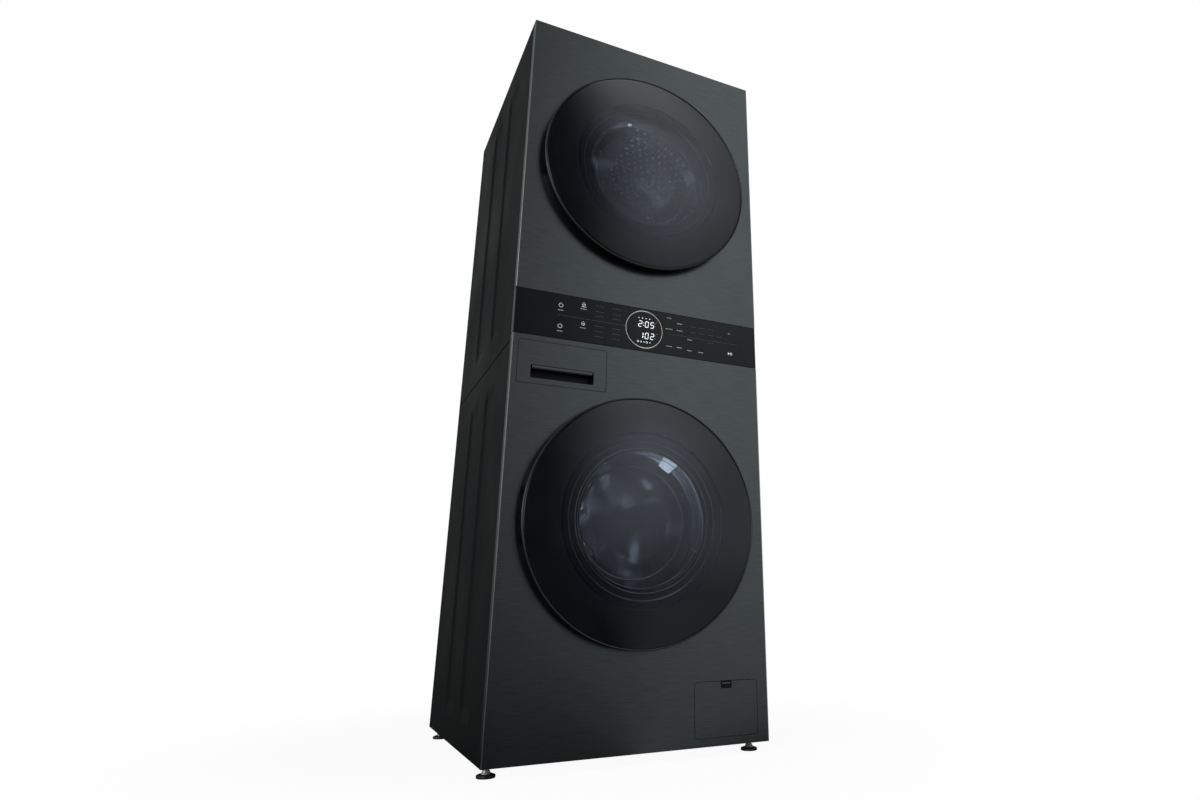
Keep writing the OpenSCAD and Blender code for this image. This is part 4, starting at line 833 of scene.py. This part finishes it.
# ---------------------------------- gasket and drums
# The washer's mouth is sealed by a grey rubber bellows with deep folds.
# Both drums are rolled from stainless sheet: small holes with pressed rims
# or small pearls cover their walls, and hollow lifters are riveted in.
gasket_rubber = finish("gasket_grey", (0.115, 0.12, 0.125), 0.5, vary=0.08, scale=700.0,
                       depth=0.12, dusty=0.08)
folds = rounded_run(
    [(179.3, -0.9), (193.8, -0.9), (193.8, 0.0), (189.8, 0.3), (189.6, 4.2), (184, 6.3),
     (173.4, 13.3), (169.7, 26), (172.2, 34.8), (184.2, 42.7), (186, 61.8), (180.3, 61.8),
     (177.8, 47.3), (168.2, 39.4), (165.3, 26), (168.2, 10.3), (177.2, 0.2), (179.3, -0.9)],
    (0.4, 0.4, 0.1, 1.0, 2.0, 4.0, 8.0, 6.0, 5.0, 1.0, 1.0, 5.0, 5.0, 7.0, 6.0, 1.0), 5)[:-1]
gasket = turned("gasket", WASHER_Z, folds, 200)
dress(smooth_by_angle(gasket, 50), gasket_rubber, "tower", "gasket_rubber", "door_gasket")


def moulded_block(name, material, height, angle, inner, outer, front, thick, crown):
    """A block beside the mouth, at an angle round the axis.  Its rounded
    outline runs from the inner to the outer (radius, half width) and is
    full at one side; the front swells by crown towards the middle."""
    (inner_r, inner_half), (outer_r, outer_half) = inner, outer
    corners = [(inner_r, -inner_half), (outer_r, -outer_half), (outer_r, outer_half),
               (inner_r, outer_half)]
    outline = rounded_run(corners + corners[:2], (2.5,) * 4, 4)[1:-1]
    middle = outline.mean(0)
    share, depth = np.array([(0.0, front - crown), (0.45, front - crown * 0.8),
                             (0.9, front - crown * 0.15), (1.0, front + 1.0),
                             (1.0, front + thick), (0.0, front + thick)]).T[:, :, None]
    r, across_it = (middle[k] + share * (outline[:, k] - middle[k]) for k in (0, 1))
    c, s = math.cos(math.radians(angle)), math.sin(math.radians(angle))
    piece = mesh_piece(name, placed(r * c - across_it * s, depth, height + r * s + across_it * c),
                       grid_faces(*r.shape, ring_columns=True))
    reworked(piece.data, weld)
    dress(smooth_by_angle(piece, 50), material, "tower", "white_plastic")


nozzle_plastic = finish("nozzle_clear_grey", (0.30, 0.33, 0.37), 0.22, vary=0.08, depth=0.04)
for number, angle in enumerate((121.0, 200.0, 270.0, -19.0)):
    moulded_block(f"spray_nozzle_{number}", nozzle_plastic, WASHER_Z, angle, (150, 4.5), (171, 9.0),
                  49.0, 8.0, 1.5)
lens_lit = lit_print("drum_light_lens", (0.72, 0.80, 0.86), 1.6, rough=0.3)
moulded_block("drum_light", lens_lit, WASHER_Z, 57.0, (145, 11.0), (173, 19.0), 49.0, 7.0, 1.2)
moulded_block("dryer_light", lens_lit, DRYER_Z, 102.0, (161, 4.0), (170, 5.0), 34.0, 5.0, 1.0)
for name, height, angle, radius, depth, power, mirrored in (
        ("drum_glow", WASHER_Z, 57.0, 148.0, 68.0, 0.5, True),
        ("washer_mouth_glow", WASHER_Z, -72.0, 159.0, 2.0, 0.20, True),
        ("dryer_glow", DRYER_Z, 102.0, 152.0, 96.0, 0.8, False),
        ("dryer_mouth_glow", DRYER_Z, 228.0, 157.0, 6.0, 0.16, True)):
    turn = math.radians(angle)
    lamp(name, "POINT",
         placed(radius * math.cos(turn), depth, height + radius * math.sin(turn)).tolist(),
         placed(0, 400, height).tolist(), power, 0.007, mirrored, (0.86, 0.93, 1.0))
drum_steel = finish("drum_stainless", (0.56, 0.57, 0.58), 0.16, metallic=1.0, vary=0.08,
                    scale=800.0, depth=0.04, cloud_scale=12.0)
pearl_steel = finish("pearl_stainless", (0.78, 0.81, 0.85), 0.42, metallic=0.5, vary=0.12,
                     cloud_scale=60.0, depth=0.02)
HOLE_RINGS = ((1.0, 0.0), (0.62, 1.0), (0.45, 0.9), (0.4, -0.2))
PEARL_RINGS = ((1.0, 0.0), (0.75, 0.6), (0.4, 0.95), (0.15, 1.0))
SIDES = 8


def dotted(name, body, centres, outward, radius, rise, pearl):
    """Small pressed dimples: round each centre stand rings of SIDES points,
    each a share of radius wide and a share of rise up along outward.  They
    lead to a round top where pearl is set, or else over a rim into a pit."""
    outward = np.broadcast_to(outward, centres.shape)
    u = np.cross(outward, np.where(np.abs(outward[:, 1:2]) > 0.9, [[1.0, 0, 0]], [[0, 1.0, 0]]))
    u /= np.linalg.norm(u, axis=1, keepdims=True)
    v = np.cross(outward, u)
    turn = np.linspace(0, 2 * np.pi, SIDES, endpoint=False)[:, None]
    rings = PEARL_RINGS if pearl else HOLE_RINGS
    corners = np.stack([
        centres[:, None] + radius * wide * (np.cos(turn) * u[:, None] + np.sin(turn) * v[:, None])
        + rise * up * outward[:, None] for wide, up in rings], 1)
    first = np.arange(len(centres))[:, None, None] * (len(rings) * SIDES)
    piece = mesh_piece(name, corners, (first + grid_faces(len(rings), SIDES, ring_columns=True)
                                       ).reshape(-1, 4))
    ends = (first[:, 0] + (len(rings) - 1) * SIDES + np.arange(SIDES)).tolist()

    def close(work):
        work.verts.ensure_lookup_table()
        for loop in ends:
            work.faces.new([work.verts[i] for i in loop])

    reworked(piece.data, close)
    dress(piece, pearl_steel if pearl else drum_steel, body, "drum_steel")


def drum_dots(name, body, height, radius, y0, y1, pitch, dot, rise, gap, pearl):
    """Rows of dimples round the inside of a drum, every other row shifted
    by half a step, leaving the places of the three lifters free."""
    rows = int((y1 - y0) / pitch)
    around = int(2 * np.pi * radius / (pitch * 1.1) / 6) * 6
    i, j = np.meshgrid(np.arange(rows), np.arange(around), indexing="ij")
    turn = 2 * np.pi * (j + 0.5 * (i % 2)) / around
    depth = y0 + (i + 0.5) * (y1 - y0) / rows
    lifter = (np.degrees(turn) - 90) % 120
    free = np.minimum(lifter, 120 - lifter) > gap
    turn, depth = turn[free], depth[free]
    dotted(name, body, placed(radius * np.cos(turn), depth, height + radius * np.sin(turn)),
           np.stack([-np.cos(turn), np.zeros_like(turn), -np.sin(turn)], 1), dot, rise, pearl)


drum_dots("washer_drum_holes", "wash_drum", WASHER_Z, 243.6, 100, 420, 17.0, 0.0036, 0.0012, 8.0,
          False)
drum_dots("dryer_drum_pearls", "dry_drum", DRYER_Z, 268.6, 96, 496, 21.0, 0.0046, 0.0022, 7.5, True)


def beside_arm(turn, r):
    """Millimetres along the arc to the nearest of the star's six arms."""
    return np.abs(np.degrees(turn) % 60 - 30) * np.pi / 180 * r


def rear_dots(name, body, height, depth, low_r, high_r, pitch, dot, rise, free_arms, pearl):
    """Rings of dimples on the rear wall of a drum; free_arms keeps them off
    the arms of the pressed star."""
    spots = []
    for i, r in enumerate(np.arange(low_r, high_r, pitch)):
        count = int(2 * np.pi * r / (pitch * 1.15) / 6) * 6
        turn = 2 * np.pi * (np.arange(count) + 0.5 * (i % 2)) / count
        turn = turn[beside_arm(turn, r) > free_arms]
        spots.append(np.stack([r * np.cos(turn), r * np.sin(turn)]))
    x, z = np.concatenate(spots, 1)
    dotted(name, body, placed(x, depth, height + z), (0.0, -1.0, 0.0), dot, rise, pearl)


rear_dots("washer_rear_holes", "wash_drum", WASHER_Z, 428.7, 96, 232, 17.0, 0.0034, 0.0011, 24.0,
          False)
rear_dots("dryer_rear_pearls", "dry_drum", DRYER_Z, 502.7, 30, 160, 21.0, 0.0044, 0.0020, 0.0, True)

# The rear wall of the wash drum is pressed into a hub and six arms.
STAR_DEPTH = 428.75
r, turn = np.meshgrid(np.linspace(0, 205, 70), np.linspace(0, 2 * np.pi, 240, endpoint=False))
arms = 6.0 * soft_step((19 - beside_arm(turn, r)) / 9) * soft_step((r - 30) / 25)
hub = 7.5 * soft_step((r - 24) / 10) * soft_step((78 - r) / 14)
relief = np.maximum(arms * soft_step((200 - r) / 22), hub) + 0.25
relief[:, -1] = 0.05
front, rear = (placed(r * np.cos(turn), depth, WASHER_Z + r * np.sin(turn))
               for depth in (STAR_DEPTH - relief, STAR_DEPTH + 0.02))
star = mesh_piece("drum_star", np.concatenate([front, rear[:, ::-1]], 1),
                  grid_faces(len(r), 2 * r.shape[1], ring_rows=True))
reworked(star.data, weld)
dress(smooth_by_angle(star, 50), drum_steel, "wash_drum", "drum_steel")
for which, body in (("washer", "wash_drum"), ("dryer", "dry_drum")):
    shell = cad_copy(f"{which}_drum", f"{which}_drum_shell")
    dress(smooth_by_angle(shell, 40), drum_steel, body, "drum_steel", f"{which}_drum")
    lifters = softened(f"{which}_lifters", f"{which}_lifters_pressed", 0.005, segments=4)
    dress(lifters, drum_steel, body, "drum_steel", f"{which}_lifters")


# ------------------------------------------ the feet
# A black pad carries a bright threaded stud with a collar; the lock nut
# sits right under the casing.
pad_black = finish("foot_pad_black", (0.014, 0.015, 0.016), 0.4, vary=0.15, depth=0.05)
stud_bright = finish("stud_bright", (0.40, 0.405, 0.41), 0.3, metallic=0.5, vary=0.12,
                     cloud_scale=50.0, depth=0.02)
under = UNDER * 1000
thread = np.arange(13.0, under + 12, 0.5)
stem = np.concatenate([[(0, 6.7), (9.4, 6.7), (8.6, 8.6), (7.4, 10.4), (7.0, 12.4)],
                       np.stack([5.0 - 0.45 * (np.arange(len(thread)) % 2), thread], 1),
                       [(0, under + 12)]])
nut = rounded_run([(4.6, under - 6.2), (9.4, under - 6.2), (9.4, under - 1.2), (4.6, under - 1.2)],
                  (0.5, 0.5), 3)
for foot in ("foot_front_left", "foot_front_right", "foot_rear_left", "foot_rear_right"):
    low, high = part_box(foot)
    x, y, pad_r = 500 * (low.x + high.x), 500 * (low.y + high.y), 500 * (high.x - low.x)
    pad = rounded_run([(0, 0.02), (pad_r, 0.02), (pad_r, 5.0), (pad_r - 4.8, 6.9), (0, 6.9)],
                      (1.2, 0.9, 2.0), 4)
    for what, profile, steps, closed, material, slot in (
            ("pad", pad, 72, False, pad_black, "black_rubber"),
            ("stud", stem, 40, False, stud_bright, "foot_chrome"),
            ("nut", nut, 6, True, stud_bright, "foot_chrome")):
        turn = np.linspace(0, 2 * np.pi, steps, endpoint=False)[:, None]
        corners = np.broadcast_arrays(x + np.cos(turn) * profile[:, 0],
                                      y + np.sin(turn) * profile[:, 0], profile[:, 1])
        piece = mesh_piece(f"{foot}_{what}", np.stack(corners, -1) / 1000,
                           grid_faces(steps, len(profile), ring_rows=True, ring_columns=closed))
        reworked(piece.data, weld)
        dress(smooth_by_angle(piece, 40), material, foot, slot, foot)


# ------------------------------------------ the rest
# Inside pieces show when a door, the drawer or the flap is open, and from
# behind; each keeps its imported shape with a finish of its own, but the
# hinge parts are painted black as shade in place of theirs.
finishes = {
    "inner_steel": inner_steel,
    "zinc_steel": finish("zinc_plate", (0.50, 0.51, 0.50), 0.33, metallic=1.0, scale=600.0,
                         cloud_scale=40.0, depth=0.03),
    "foot_chrome": finish("bright_plate", (0.62, 0.62, 0.63), 0.2, metallic=1.0, vary=0.06,
                          cloud_scale=50.0, depth=0.01),
    "door_black": door_plastic, "gasket_rubber": gasket_rubber,
    "black_rubber": finish("black_rubber", (0.018, 0.018, 0.019), 0.6, vary=0.12, depth=0.15,
                           dusty=0.2),
    "drum_steel": drum_steel,
    "tub_plastic": finish("tub_grey", (0.50, 0.52, 0.54), 0.55, vary=0.07, scale=700.0,
                          depth=0.12),
    "white_plastic": finish("moulded_white", (0.74, 0.75, 0.755), 0.42, vary=0.03, depth=0.06),
    "dark_plastic": finish("moulded_dark", (0.045, 0.047, 0.05), 0.5, vary=0.08, depth=0.12,
                           dusty=0.08),
    "filter_blue": finish("filter_cap_blue", (0.05, 0.20, 0.30), 0.42, vary=0.06, depth=0.08),
    "weight_iron": finish("cast_weight", (0.13, 0.13, 0.135), 0.7, vary=0.25, scale=300.0,
                          depth=0.6, cloud_scale=30.0),
    "copper_coils": finish("copper_wire", (0.55, 0.27, 0.12), 0.35, metallic=1.0, vary=0.15,
                           scale=300.0, depth=0.2),
    "fin_aluminium": finish("fin_metal", (0.60, 0.61, 0.62), 0.38, metallic=1.0, vary=0.08,
                            scale=500.0, depth=0.05),
    "seal_felt": finish("felt_strip", (0.42, 0.39, 0.33), 0.9, vary=0.2, scale=500.0, depth=1.0,
                        cloud_scale=80.0),
    "board_green": finish("board_green", (0.03, 0.12, 0.06), 0.45, vary=0.15, cloud_scale=60.0),
    "side_paint": side_paint, "front_steel": front_steel, "strip_black": strip_black,
    "door_glass": tinted, "bowl_glass": bowl_glass}
# The hinge parts are painted black as shade, in place of their own finish.
hinge_painted_shade = finish("hinge_painted_shade", (0.006, 0.0065, 0.007), 0.45, depth=0.05, specular=0.3)
slot_of = {part["node"]: part["material_slot"] for part in frame["record"]["subparts"]}
for name, packed in nodes.items():
    for slot in packed.material_slots:
        slot.material = hinge_painted_shade if "hinge" in name else finishes[slot_of[name]]
    smooth_by_angle(packed, 35)
